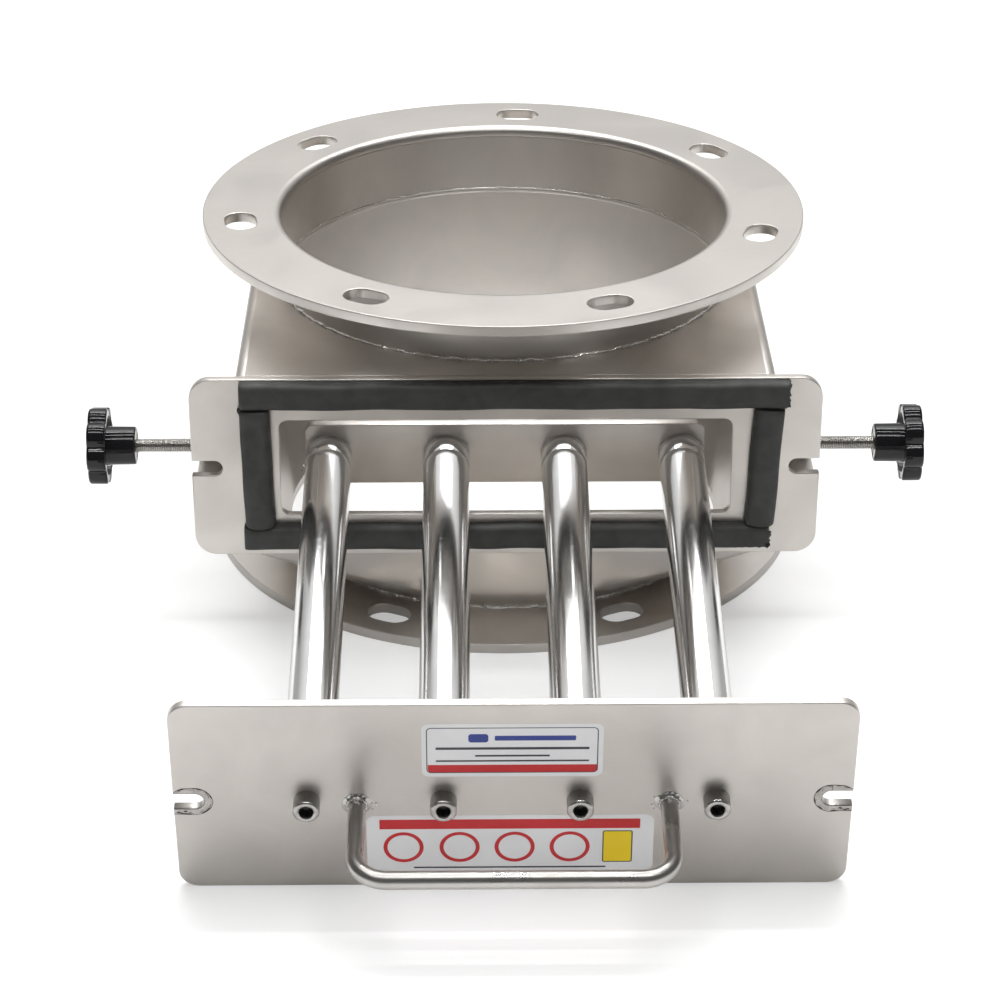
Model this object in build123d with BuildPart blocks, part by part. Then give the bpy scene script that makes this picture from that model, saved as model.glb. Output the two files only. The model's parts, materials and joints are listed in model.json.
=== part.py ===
from build123d import *
import math
import os

# Drawer magnet for bulk material in a round pipe, all sizes in millimetres.
# The origin is the centre of the outlet flange's underside, +Z is up, and the drawer leaves towards -Y.
# The drawer is pulled out: its bars lie on the lower edge of the housing's opening and its plate stands
# on the ground, so the whole drawer leans forward by a few degrees.

# Round pipe flanges and the material passage
bore_radius = 130.0
flange_radius = 175.5
flange_thickness = 5.0
overall_height = 202.0
collar_wall = 2.5
inlet_edge_radius = 4.0
flange_slot_count = 7
flange_slot_circle_radius = 154.0
flange_slot_length = 26.0
flange_slot_width = 18.0
inlet_slot_turn = 4.0
outlet_slot_turn = 0.0

# Welded box between the flanges
sheet = 3.0
bend_radius = 6.0
box_width = 298.0
box_back_y = 145.5
transition_corner_radius = 4.0
transition_band = 6.0
transition_flat_angle = 5.0

# Front flange with the drawer opening
front_flange_overhang = 25.0
front_flange_height = 108.0
front_flange_thickness = 5.0
front_flange_corner_radius = 12.0
front_flange_face_y = -155.6
front_flange_bottom = 54.0
front_flange_edge_chamfer = 0.5
opening_width = 250.0
opening_height = 58.5
opening_corner_radius = 5.0
bolt_slot_width = 9.0
bolt_slot_depth = 17.0

# Rubber sealing strips, glued a little off centre
gasket_thickness = 8.0
gasket_side_width = 16.8
gasket_top_width = 15.7
gasket_bottom_width = 14.4
gasket_top_margin = 0.7
gasket_bottom_margin = 5.4
gasket_left_margin = 28.0
gasket_right_margin = 22.5
gasket_top_strip_right_margin = 17.5
gasket_bottom_strip_right_margin = 25.0
gasket_left_lean = 1.0
gasket_right_lean = 3.0
gasket_joint_gap = 0.3
gasket_edge_radius = 2.5

# Swing bolts, their lugs and pins
eye_radius = 10.0
eye_thickness = 9.0
rod_radius = 4.0
rod_length = 60.0
pin_radius = 4.0
pin_head_radius = 6.0
pin_head_height = 2.0
pin_tail = 3.0
lug_radius = 10.0
lug_thickness = 5.0
pivot_behind_flange = 24.3
side_gap = 0.3
fit_gap = 0.05

# Star knobs with their threaded inserts
knob_reach = 46.0
hub_radius = 10.7
hub_length = 15.4
knob_head_radius = 22.3
knob_head_thickness = 10.5
knob_dome_height = 1.8
knob_lobe_count = 8
knob_lobe_radius = 8.2
knob_web_radius = 17.5
knob_groove_radius = 1.2
knob_edge_radius = 1.5
knob_recess_radius = 16.6
knob_recess_depth = 6.5
insert_radius = 6.5
insert_length = 12.0
knob_bore_depth = 18.0
knob_bore_gap = 0.3

# Drawer plate
drawer_plate_width = 331.0
drawer_plate_height = 115.6
drawer_plate_shift = 0.8
bar_row_height = 55.7
drawer_plate_thickness = 5.0
drawer_plate_corner_radius = 10.0
drawer_plate_edge_chamfer = 0.5
drawer_slot_width = 10.0
drawer_slot_depth = 16.0

# Magnet bars
bar_count = 4
bar_spacing = 66.5
bar_radius = 13.0
bar_wall = 1.5
bar_length = 290.8
bar_end_inside = 40.0
front_plug_length = 20.0
tail_plug_length = 14.0
tail_spigot_length = 8.0
magnet_count = 7
pole_length = 5.0

# Handle
handle_half_width = 75.8
handle_reach = 56.0
handle_shift = 0.4
handle_below_row = 2.0
handle_rod_radius = 4.25
handle_bend_radius = 13.0

# Cap screws that hold the bars to the drawer plate
cap_screw_radius = 4.0
cap_hole_radius = 4.5
cap_head_radius = 6.5
cap_head_height = 9.0
cap_head_edge_radius = 0.8
cap_socket_across_flats = 6.0
cap_socket_depth = 5.0
cap_thread_length = 15.0

# Tail plate and its screws
tail_plate_end_margin = 13.0
tail_plate_height = 40.0
tail_plate_thickness = 5.0
tail_plate_corner_radius = 5.0
tail_screw_radius = 3.0
tail_hole_radius = 3.3
tail_head_radius = 5.0
tail_head_height = 6.0
tail_socket_across_flats = 5.0
tail_socket_depth = 3.0
tail_thread_length = 12.0

# Worked out from the driving dimensions
collar_radius = bore_radius + collar_wall
front_flange_width = box_width + 2 * front_flange_overhang
housing_top = front_flange_bottom + front_flange_height
box_front_y = front_flange_face_y + front_flange_thickness
box_depth = box_back_y - box_front_y
box_side_bottom = front_flange_bottom + transition_band
front_middle_z = front_flange_bottom + front_flange_height / 2
opening_bottom = front_middle_z - opening_height / 2
pivot_x = front_flange_width / 2 - bolt_slot_depth + bolt_slot_width / 2
pivot_y = box_front_y + pivot_behind_flange
bars_x = [(i - (bar_count - 1) / 2) * bar_spacing for i in range(bar_count)]
tail_plate_width = (bar_count - 1) * bar_spacing + 2 * tail_plate_end_margin
sides = (("left", -1), ("right", 1))

os.makedirs("parts", exist_ok=True)


# Round flanges: laser-cut rings with slotted holes for the pipe's bolts
with BuildPart() as bottom_flange:
    with BuildSketch():
        Circle(flange_radius)
        Circle(bore_radius, mode=Mode.SUBTRACT)
        with PolarLocations(flange_slot_circle_radius, flange_slot_count, start_angle=90 - outlet_slot_turn):
            SlotOverall(flange_slot_length, flange_slot_width, rotation=90, mode=Mode.SUBTRACT)
    extrude(amount=flange_thickness)
bottom_flange.part.label = "bottom_flange"
export_step(bottom_flange.part, "parts/bottom_flange.step")

with BuildPart() as top_flange:
    with BuildSketch(Plane.XY.offset(overall_height - flange_thickness)):
        Circle(flange_radius)
        Circle(bore_radius, mode=Mode.SUBTRACT)
        with PolarLocations(flange_slot_circle_radius, flange_slot_count, start_angle=90 - inlet_slot_turn):
            SlotOverall(flange_slot_length, flange_slot_width, rotation=90, mode=Mode.SUBTRACT)
    extrude(amount=flange_thickness)
    # The weld between ring and collar is ground to a soft round edge
    bore_edges = top_flange.faces().sort_by(Axis.Z)[-1].edges().filter_by(GeomType.CIRCLE)
    fillet(bore_edges.filter_by(lambda edge: abs(edge.radius - bore_radius) < fit_gap), inlet_edge_radius)
top_flange.part.label = "top_flange"
export_step(top_flange.part, "parts/top_flange.step")

# Inlet collar: a rolled tube from the box's top to the inlet flange
with BuildPart() as inlet_collar:
    with BuildSketch(Plane.XY.offset(housing_top)):
        Circle(collar_radius)
        Circle(bore_radius, mode=Mode.SUBTRACT)
    extrude(amount=overall_height - flange_thickness - housing_top)
inlet_collar.part.label = "inlet_collar"
export_step(inlet_collar.part, "parts/inlet_collar.step")

# Housing cover: top and both sides folded from one sheet, with the inlet hole
with BuildPart() as housing_cover:
    with BuildSketch(Plane.XZ.offset(-box_back_y)):
        with BuildLine():
            FilletPolyline(
                (-box_width / 2, box_side_bottom),
                (-box_width / 2, housing_top),
                (box_width / 2, housing_top),
                (box_width / 2, box_side_bottom),
                radius=bend_radius,
            )
            offset(amount=sheet, side=Side.RIGHT)
        make_face()
    extrude(amount=box_depth)
    with BuildSketch(Plane.XY.offset(housing_top)):
        Circle(bore_radius)
    extrude(amount=-2 * sheet, mode=Mode.SUBTRACT)
housing_cover.part.label = "housing_cover"
export_step(housing_cover.part, "parts/housing_cover.step")

# Rear wall, welded in between the cover's sides
with BuildPart() as rear_wall:
    with BuildSketch(Plane.XZ.offset(-box_back_y)) as rear_profile:
        with Locations((0, (box_side_bottom + housing_top - sheet) / 2)):
            Rectangle(box_width - 2 * sheet, housing_top - sheet - box_side_bottom)
        fillet(rear_profile.vertices().group_by(Axis.Y)[-1], bend_radius - sheet)
    extrude(amount=sheet)
rear_wall.part.label = "rear_wall"
export_step(rear_wall.part, "parts/rear_wall.step")


def transition_form(inset, foot_radius):
    """The outlet's square-to-round form as a full solid, its square end moved inward by inset.

    Each side is a flat that narrows to transition_flat_angle of the circle, and each corner is a cone.
    """
    half_x = box_width / 2 - inset
    front = box_front_y + inset
    back = box_back_y - inset
    corner = transition_corner_radius
    if inset > 0:
        corner = max(transition_corner_radius - inset, sheet / 3)
    with BuildPart() as form:
        with BuildSketch(Plane.XY.offset(front_flange_bottom)):
            with BuildLine():
                Line((corner - half_x, front), (half_x - corner, front))
                CenterArc((half_x - corner, front + corner), corner, -90, 90)
                Line((half_x, front + corner), (half_x, back - corner))
                CenterArc((half_x - corner, back - corner), corner, 0, 90)
                Line((half_x - corner, back), (corner - half_x, back))
                CenterArc((corner - half_x, back - corner), corner, 90, 90)
                Line((-half_x, back - corner), (-half_x, front + corner))
                CenterArc((corner - half_x, front + corner), corner, 180, 90)
            make_face()
        with BuildSketch(Plane.XY.offset(flange_thickness)):
            with BuildLine():
                for quarter in range(4):
                    middle = 90 * quarter - 90
                    CenterArc((0, 0), foot_radius, middle - transition_flat_angle / 2, transition_flat_angle)
                    CenterArc((0, 0), foot_radius, middle + transition_flat_angle / 2, 90 - transition_flat_angle)
            make_face()
        loft(ruled=True)
        with BuildSketch(Plane.XY.offset(front_flange_bottom)):
            with Locations((0, (front + back) / 2)):
                RectangleRounded(2 * half_x, back - front, corner)
        extrude(amount=transition_band)
    return form.part


# Outlet transition: from the square box down to the round outlet
transition_outside = transition_form(0, collar_radius)
transition_inside = transition_form(sheet, bore_radius)
with BuildPart() as outlet_transition:
    add(transition_outside)
    add(transition_inside, mode=Mode.SUBTRACT)
outlet_transition.part.label = "outlet_transition"
export_step(outlet_transition.part, "parts/outlet_transition.step")

# Front flange: the plate that the drawer closes on, with a slot each side for a swing bolt
with BuildPart() as front_flange:
    with BuildSketch(Plane.XZ.offset(-box_front_y)):
        with Locations((0, front_middle_z)):
            RectangleRounded(front_flange_width, front_flange_height, front_flange_corner_radius)
            RectangleRounded(opening_width, opening_height, opening_corner_radius, mode=Mode.SUBTRACT)
        with Locations(
            (-front_flange_width / 2, front_middle_z),
            (front_flange_width / 2, front_middle_z),
        ):
            SlotOverall(2 * bolt_slot_depth, bolt_slot_width, mode=Mode.SUBTRACT)
    extrude(amount=front_flange_thickness)
    chamfer(front_flange.faces().sort_by(Axis.Y)[0].outer_wire().edges(), front_flange_edge_chamfer)
front_flange.part.label = "front_flange"
export_step(front_flange.part, "parts/front_flange.step")

# Rubber strips round the opening: two long ones with two short ones between them
gasket_top = housing_top - gasket_top_margin
gasket_bottom = front_flange_bottom + gasket_bottom_margin
gasket_side_top = gasket_top - gasket_top_width - gasket_joint_gap
gasket_side_bottom = gasket_bottom + gasket_bottom_width + gasket_joint_gap
gasket_side_z = (gasket_side_top + gasket_side_bottom) / 2
gasket_left_x = gasket_left_margin - front_flange_width / 2
gasket_right_x = front_flange_width / 2 - gasket_right_margin
top_strip_length = front_flange_width / 2 - gasket_top_strip_right_margin - gasket_left_x
bottom_strip_length = front_flange_width / 2 - gasket_bottom_strip_right_margin - gasket_left_x


def side_strip_length(lean):
    """Length of a side strip that leans by some degrees and stays clear of the long strips."""
    tilt = math.radians(lean)
    return (gasket_side_top - gasket_side_bottom - gasket_side_width * math.sin(tilt)) / math.cos(tilt)


gasket_strips = (
    (
        "gasket_top_strip",
        (gasket_left_x + top_strip_length / 2, gasket_top - gasket_top_width / 2),
        (top_strip_length, gasket_top_width),
        0,
    ),
    (
        "gasket_bottom_strip",
        (gasket_left_x + bottom_strip_length / 2, gasket_bottom + gasket_bottom_width / 2),
        (bottom_strip_length, gasket_bottom_width),
        0,
    ),
    (
        "gasket_left_strip",
        (gasket_left_x + gasket_side_width / 2, gasket_side_z),
        (gasket_side_width, side_strip_length(gasket_left_lean)),
        gasket_left_lean,
    ),
    (
        "gasket_right_strip",
        (gasket_right_x - gasket_side_width / 2, gasket_side_z),
        (gasket_side_width, side_strip_length(gasket_right_lean)),
        -gasket_right_lean,
    ),
)
for name, middle, size, lean in gasket_strips:
    with BuildPart() as strip:
        with BuildSketch(Plane.XZ.offset(-front_flange_face_y)):
            with Locations(middle):
                Rectangle(*size, rotation=lean)
        extrude(amount=gasket_thickness)
        fillet(strip.faces().sort_by(Axis.Y)[0].edges(), gasket_edge_radius)
    strip.part.label = name
    export_step(strip.part, f"parts/{name}.step")

# Lugs on the back of the front flange, an upper and a lower one for each swing bolt
lug_inner_height = eye_thickness / 2 + side_gap
for side, sign in sides:
    for level, lug_bottom in (
        ("upper", front_middle_z + lug_inner_height),
        ("lower", front_middle_z - lug_inner_height - lug_thickness),
    ):
        with BuildPart() as lug:
            with BuildSketch(Plane.XY.offset(lug_bottom)):
                with Locations((sign * pivot_x, (box_front_y + pivot_y) / 2)):
                    Rectangle(2 * lug_radius, pivot_y - box_front_y)
                with Locations((sign * pivot_x, pivot_y)):
                    Circle(lug_radius)
                    Circle(pin_radius + fit_gap, mode=Mode.SUBTRACT)
            extrude(amount=lug_thickness)
        lug.part.label = f"{side}_{level}_lug"
        export_step(lug.part, f"parts/{side}_{level}_lug.step")

# Hinge pins, dropped through the lugs and the bolt's eye, with a flat head on top
lug_outer_height = lug_inner_height + lug_thickness
for side, sign in sides:
    with BuildPart() as hinge_pin:
        with BuildSketch(Plane.XY.offset(front_middle_z - lug_outer_height - pin_tail)):
            with Locations((sign * pivot_x, pivot_y)):
                Circle(pin_radius)
        extrude(amount=2 * lug_outer_height + pin_tail)
        with BuildSketch(Plane.XY.offset(front_middle_z + lug_outer_height)):
            with Locations((sign * pivot_x, pivot_y)):
                Circle(pin_head_radius)
        extrude(amount=pin_head_height)
    hinge_pin.part.label = f"{side}_hinge_pin"
    export_step(hinge_pin.part, f"parts/{side}_hinge_pin.step")


def clamp_plane(sign):
    """Plane at a swing bolt's pivot, facing along its rod, which points sideways at rest."""
    return Plane(origin=(sign * pivot_x, pivot_y, front_middle_z), x_dir=(0, 1, 0), z_dir=(sign, 0, 0))


# Swing bolts: an eye on the pin and a rod that carries the knob
for side, sign in sides:
    with BuildPart() as swing_bolt:
        with BuildSketch(Plane.XY.offset(front_middle_z - eye_thickness / 2)):
            with Locations((sign * pivot_x, pivot_y)):
                Circle(eye_radius)
        extrude(amount=eye_thickness)
        with BuildSketch(clamp_plane(sign)):
            Circle(rod_radius)
        extrude(amount=rod_length)
        with BuildSketch(Plane.XY.offset(front_middle_z - eye_thickness / 2)):
            with Locations((sign * pivot_x, pivot_y)):
                Circle(pin_radius + fit_gap)
        extrude(amount=eye_thickness, mode=Mode.SUBTRACT)
    swing_bolt.part.label = f"{side}_swing_bolt"
    export_step(swing_bolt.part, f"parts/{side}_swing_bolt.step")

# Threaded metal inserts, held in the knobs' hubs
for side, sign in sides:
    with BuildPart() as knob_insert:
        with BuildSketch(clamp_plane(sign).offset(knob_reach)):
            Circle(insert_radius)
            Circle(rod_radius + fit_gap, mode=Mode.SUBTRACT)
        extrude(amount=insert_length)
    knob_insert.part.label = f"{side}_knob_insert"
    export_step(knob_insert.part, f"parts/{side}_knob_insert.step")

# Star knobs: a lobed head, hollow on its inner side, and a hub that holds the insert
knob_head_reach = knob_reach + hub_length
knob_dome_taper = math.degrees(math.atan(knob_web_radius / 2 / knob_dome_height))
for side, sign in sides:
    with BuildPart() as star_knob:
        with BuildSketch(clamp_plane(sign).offset(knob_head_reach)) as star_outline:
            Circle(knob_web_radius)
            with PolarLocations(knob_head_radius - knob_lobe_radius, knob_lobe_count):
                Circle(knob_lobe_radius)
            fillet(star_outline.vertices(), knob_groove_radius)
        extrude(amount=knob_head_thickness)
        outer_face = star_knob.faces().sort_by(Axis((0, 0, 0), (sign, 0, 0)))[-1]
        fillet(outer_face.edges(), knob_edge_radius)
        with BuildSketch(clamp_plane(sign).offset(knob_head_reach + knob_head_thickness)):
            Circle(knob_web_radius)
        extrude(amount=knob_dome_height, taper=knob_dome_taper)
        with BuildSketch(clamp_plane(sign).offset(knob_head_reach)):
            Circle(knob_recess_radius)
        extrude(amount=knob_recess_depth, mode=Mode.SUBTRACT)
        with BuildSketch(clamp_plane(sign).offset(knob_reach)):
            Circle(hub_radius)
        extrude(amount=hub_length + knob_recess_depth)
        with BuildSketch(clamp_plane(sign).offset(knob_reach)):
            Circle(insert_radius + fit_gap)
        extrude(amount=insert_length + knob_bore_gap, mode=Mode.SUBTRACT)
        with BuildSketch(clamp_plane(sign).offset(knob_reach)):
            Circle(rod_radius + knob_bore_gap)
        extrude(amount=knob_bore_depth, mode=Mode.SUBTRACT)
    star_knob.part.label = f"{side}_star_knob"
    export_step(star_knob.part, f"parts/{side}_star_knob.step")

# The drawer is pulled out until a short end of its bars stays inside. It leans until the bars lie on the
# opening's lower edge while the foot of its plate is on the ground.
face_to_edge = drawer_plate_thickness + bar_length - bar_end_inside
bar_underside = bar_row_height - bar_radius - side_gap
foot_to_edge = math.hypot(face_to_edge, bar_underside)
foot_to_edge_y = math.sqrt(foot_to_edge**2 - opening_bottom**2)
lean = math.atan2(face_to_edge, bar_underside) - math.atan2(foot_to_edge_y, opening_bottom)
drawer_origin = (
    0,
    front_flange_face_y - foot_to_edge_y - bar_row_height * math.sin(lean),
    bar_row_height * math.cos(lean),
)
# Plane of the drawer plate's front face at the row of bars: x right, y up the plate, z towards the user
drawer_face = Plane(origin=drawer_origin, x_dir=(1, 0, 0), z_dir=(0, -math.cos(lean), -math.sin(lean)))
towards_user = Axis(drawer_origin, drawer_face.z_dir)
plate_back = drawer_face.offset(-drawer_plate_thickness)
tail_face = drawer_face.offset(-drawer_plate_thickness - bar_length)

with BuildPart() as drawer_plate:
    with BuildSketch(plate_back):
        with Locations((drawer_plate_shift, drawer_plate_height / 2 - bar_row_height)):
            RectangleRounded(drawer_plate_width, drawer_plate_height, drawer_plate_corner_radius)
        with Locations(
            (drawer_plate_shift - drawer_plate_width / 2, 0),
            (drawer_plate_shift + drawer_plate_width / 2, 0),
        ):
            SlotOverall(2 * drawer_slot_depth, drawer_slot_width, mode=Mode.SUBTRACT)
        with Locations([(x, 0) for x in bars_x]):
            Circle(cap_hole_radius, mode=Mode.SUBTRACT)
    extrude(amount=drawer_plate_thickness)
    front_rim = drawer_plate.faces().sort_by(towards_user)[-1]
    chamfer(front_rim.outer_wire().edges(), drawer_plate_edge_chamfer)
drawer_plate.part.label = "drawer_plate"
export_step(drawer_plate.part, "parts/drawer_plate.step")

# Handle: one bent round bar, butt-welded to the plate
handle_origin = drawer_face.from_local_coords((handle_shift, -handle_below_row, 0))
handle_plane = Plane(origin=handle_origin, x_dir=(1, 0, 0), z_dir=drawer_face.y_dir)
with BuildPart() as handle:
    with BuildLine(handle_plane) as handle_path:
        FilletPolyline(
            (-handle_half_width, 0),
            (-handle_half_width, -handle_reach),
            (handle_half_width, -handle_reach),
            (handle_half_width, 0),
            radius=handle_bend_radius,
        )
    with BuildSketch(drawer_face):
        with Locations((handle_shift - handle_half_width, -handle_below_row)):
            Circle(handle_rod_radius)
    sweep(path=handle_path.wires()[0])
handle.part.label = "drawer_handle"
export_step(handle.part, "parts/drawer_handle.step")

# Magnet bars: a thin polished tube, a front plug, magnets with pole discs between them, and a tail plug
tube_length = bar_length - tail_plug_length
core_length = tube_length - front_plug_length - tail_spigot_length
magnet_length = (core_length - (magnet_count + 1) * pole_length) / magnet_count
inner_radius = bar_radius - bar_wall - fit_gap
for number, x in enumerate(bars_x, start=1):
    with BuildPart() as bar_tube:
        with BuildSketch(plate_back):
            with Locations((x, 0)):
                Circle(bar_radius)
                Circle(bar_radius - bar_wall, mode=Mode.SUBTRACT)
        extrude(amount=-tube_length)
    bar_tube.part.label = f"bar_{number}_tube"
    export_step(bar_tube.part, f"parts/bar_{number}_tube.step")

    with BuildPart() as front_plug:
        with BuildSketch(plate_back):
            with Locations((x, 0)):
                Circle(inner_radius)
        extrude(amount=-front_plug_length)
        with BuildSketch(plate_back):
            with Locations((x, 0)):
                Circle(cap_screw_radius + fit_gap)
        extrude(amount=-cap_thread_length - side_gap, mode=Mode.SUBTRACT)
    front_plug.part.label = f"bar_{number}_front_plug"
    export_step(front_plug.part, f"parts/bar_{number}_front_plug.step")

    with BuildPart() as magnets:
        for index in range(magnet_count):
            start = front_plug_length + pole_length + index * (magnet_length + pole_length)
            with BuildSketch(plate_back.offset(-start)):
                with Locations((x, 0)):
                    Circle(inner_radius)
            extrude(amount=-magnet_length)
    magnets.part.label = f"bar_{number}_magnets"
    export_step(magnets.part, f"parts/bar_{number}_magnets.step")

    with BuildPart() as poles:
        for index in range(magnet_count + 1):
            start = front_plug_length + index * (magnet_length + pole_length)
            with BuildSketch(plate_back.offset(-start)):
                with Locations((x, 0)):
                    Circle(inner_radius)
            extrude(amount=-pole_length)
    poles.part.label = f"bar_{number}_poles"
    export_step(poles.part, f"parts/bar_{number}_poles.step")

    with BuildPart() as tail_plug:
        with BuildSketch(tail_face):
            with Locations((x, 0)):
                Circle(bar_radius)
        extrude(amount=tail_plug_length)
        with BuildSketch(tail_face.offset(tail_plug_length)):
            with Locations((x, 0)):
                Circle(inner_radius)
        extrude(amount=tail_spigot_length)
        with BuildSketch(tail_face):
            with Locations((x, 0)):
                Circle(tail_screw_radius + fit_gap)
        extrude(amount=tail_thread_length + side_gap, mode=Mode.SUBTRACT)
    tail_plug.part.label = f"bar_{number}_tail_plug"
    export_step(tail_plug.part, f"parts/bar_{number}_tail_plug.step")

# Cap screws through the drawer plate into the front plugs
with BuildPart() as cap_screws:
    for x in bars_x:
        with BuildSketch(drawer_face):
            with Locations((x, 0)):
                Circle(cap_head_radius)
        extrude(amount=cap_head_height)
    fillet(cap_screws.edges().group_by(towards_user)[-1], cap_head_edge_radius)
    for x in bars_x:
        with BuildSketch(drawer_face):
            with Locations((x, 0)):
                Circle(cap_screw_radius)
        extrude(amount=-drawer_plate_thickness - cap_thread_length)
        with BuildSketch(drawer_face.offset(cap_head_height)):
            with Locations((x, 0)):
                RegularPolygon(cap_socket_across_flats / 2, 6, major_radius=False)
        extrude(amount=-cap_socket_depth, mode=Mode.SUBTRACT)
cap_screws.part.label = "cap_screws"
export_step(cap_screws.part, "parts/cap_screws.step")

# Tail plate, which keeps the bars' ends apart
tail_back = tail_face.offset(-tail_plate_thickness)
with BuildPart() as tail_plate:
    with BuildSketch(tail_back):
        RectangleRounded(tail_plate_width, tail_plate_height, tail_plate_corner_radius)
        with Locations([(x, 0) for x in bars_x]):
            Circle(tail_hole_radius, mode=Mode.SUBTRACT)
    extrude(amount=tail_plate_thickness)
tail_plate.part.label = "tail_plate"
export_step(tail_plate.part, "parts/tail_plate.step")

# Tail screws through the tail plate into the tail plugs
with BuildPart() as tail_screws:
    for x in bars_x:
        with BuildSketch(tail_back):
            with Locations((x, 0)):
                Circle(tail_head_radius)
        extrude(amount=-tail_head_height)
        with BuildSketch(tail_back):
            with Locations((x, 0)):
                Circle(tail_screw_radius)
        extrude(amount=tail_plate_thickness + tail_thread_length)
        with BuildSketch(tail_back.offset(-tail_head_height)):
            with Locations((x, 0)):
                RegularPolygon(tail_socket_across_flats / 2, 6, major_radius=False)
        extrude(amount=tail_socket_depth, mode=Mode.SUBTRACT)
tail_screws.part.label = "tail_screws"
export_step(tail_screws.part, "parts/tail_screws.step")
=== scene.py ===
import json
import logging
import math
from dataclasses import dataclass
from enum import Enum
from typing import Callable

import bpy
import numpy as np
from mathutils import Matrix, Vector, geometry


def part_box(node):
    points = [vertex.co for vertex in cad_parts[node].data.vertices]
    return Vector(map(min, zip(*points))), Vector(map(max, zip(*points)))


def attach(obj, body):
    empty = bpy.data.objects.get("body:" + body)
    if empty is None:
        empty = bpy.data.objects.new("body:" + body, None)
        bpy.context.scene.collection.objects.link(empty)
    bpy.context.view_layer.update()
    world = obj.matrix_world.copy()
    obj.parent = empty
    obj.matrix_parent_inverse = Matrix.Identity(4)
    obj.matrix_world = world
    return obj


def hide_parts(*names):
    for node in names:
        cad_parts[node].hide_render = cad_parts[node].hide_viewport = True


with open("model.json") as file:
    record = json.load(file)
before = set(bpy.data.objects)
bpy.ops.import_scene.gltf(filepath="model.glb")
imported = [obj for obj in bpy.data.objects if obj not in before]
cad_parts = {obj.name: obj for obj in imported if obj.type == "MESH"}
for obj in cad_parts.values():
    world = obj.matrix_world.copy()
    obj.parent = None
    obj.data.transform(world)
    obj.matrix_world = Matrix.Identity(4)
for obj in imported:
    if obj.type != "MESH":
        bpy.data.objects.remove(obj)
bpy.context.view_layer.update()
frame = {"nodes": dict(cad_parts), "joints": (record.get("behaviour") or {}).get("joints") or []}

# A drawer magnet: satin steel housing, polished magnet bars, soft rubber strips, black star knobs.
# Local sizes are in millimetres, and a Placement carries them into the frame in metres.
MM = 0.001
LOG = logging.getLogger("drawer_magnet")
Loop = np.ndarray
Triple = tuple[float, float, float]
Colour = Triple
Socket = bpy.types.NodeSocket

# The least square that a mitre divides by, the speckle's share in a steel's tint, a quarter turn.
SHARPEST_MITRE = 0.3
SPECKLE_SHARE = 0.25
QUARTER_TURN = 0.25


class Finish(Enum):
    """The named finishes of this object, by their Blender material's name."""

    SATIN = "satin_steel_sheet"
    POLISHED = "mirror_polished_tube"
    BRIGHT = "bright_drawn_bar"
    SCREW = "stainless_fastener"
    # Darker steel: painted shade on the screw heads' ribbed sides and in the bolts' thread roots.
    SIDE_AND_ROOT_SHADE = "painted_shade_screw_side_and_thread_root"
    TURNED = "turned_insert"
    WELD = "weld_bead"
    BURNISHED = "burnished_seat"
    # Near-black steel: painted shade inside the socket bores, and the dark worn marks round the slot seats.
    BORE_SHADE_AND_MARKS = "painted_bore_shade_and_seat_marks"
    RUBBER = "black_foam_rubber"
    PLASTIC = "black_gloss_knob"
    PAPER = "label_pale_film"
    RED = "label_red_ink"
    INK = "label_dark_ink"
    BLUE = "label_blue_ink"
    YELLOW = "label_yellow_ink"


@dataclass(frozen=True)
class Placement:
    """Where a piece's local millimetres lie in the frame.

    Args:
        origin: The local origin in the frame, in millimetres.
        x: Local x axis as a unit vector of the frame.
        y: Local y axis as a unit vector of the frame.
        z: Local z axis as a unit vector of the frame.
    """

    origin: Triple = (0.0, 0.0, 0.0)
    x: Triple = (1.0, 0.0, 0.0)
    y: Triple = (0.0, 1.0, 0.0)
    z: Triple = (0.0, 0.0, 1.0)

    def carry(self, points: np.ndarray) -> np.ndarray:
        """Takes local points in millimetres to the frame in metres."""
        axes = np.array([self.x, self.y, self.z], float)
        return (np.array(self.origin, float) + np.asarray(points, float) @ axes) * MM

    def moved(self, x: float = 0.0, y: float = 0.0, z: float = 0.0) -> "Placement":
        """The same axes with the origin shifted along them."""
        shift = np.array([x, y, z]) @ np.array([self.x, self.y, self.z], float)
        return Placement(tuple(np.array(self.origin) + shift), self.x, self.y, self.z)

    def turned_over(self) -> "Placement":
        """The same origin and x axis, with y and z the other way."""
        return Placement(self.origin, self.x, tuple(-np.array(self.y)), tuple(-np.array(self.z)))


def place_object(name: str, data: bpy.types.ID) -> bpy.types.Object:
    """Makes an object of a mesh, a lamp or a camera and links it to the scene.

    Args:
        name: The object's name.
        data: Its mesh, lamp or camera.

    Returns:
        The object, at the origin.
    """
    made = bpy.data.objects.new(name, data)
    bpy.context.scene.collection.objects.link(made)
    return made


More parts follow.
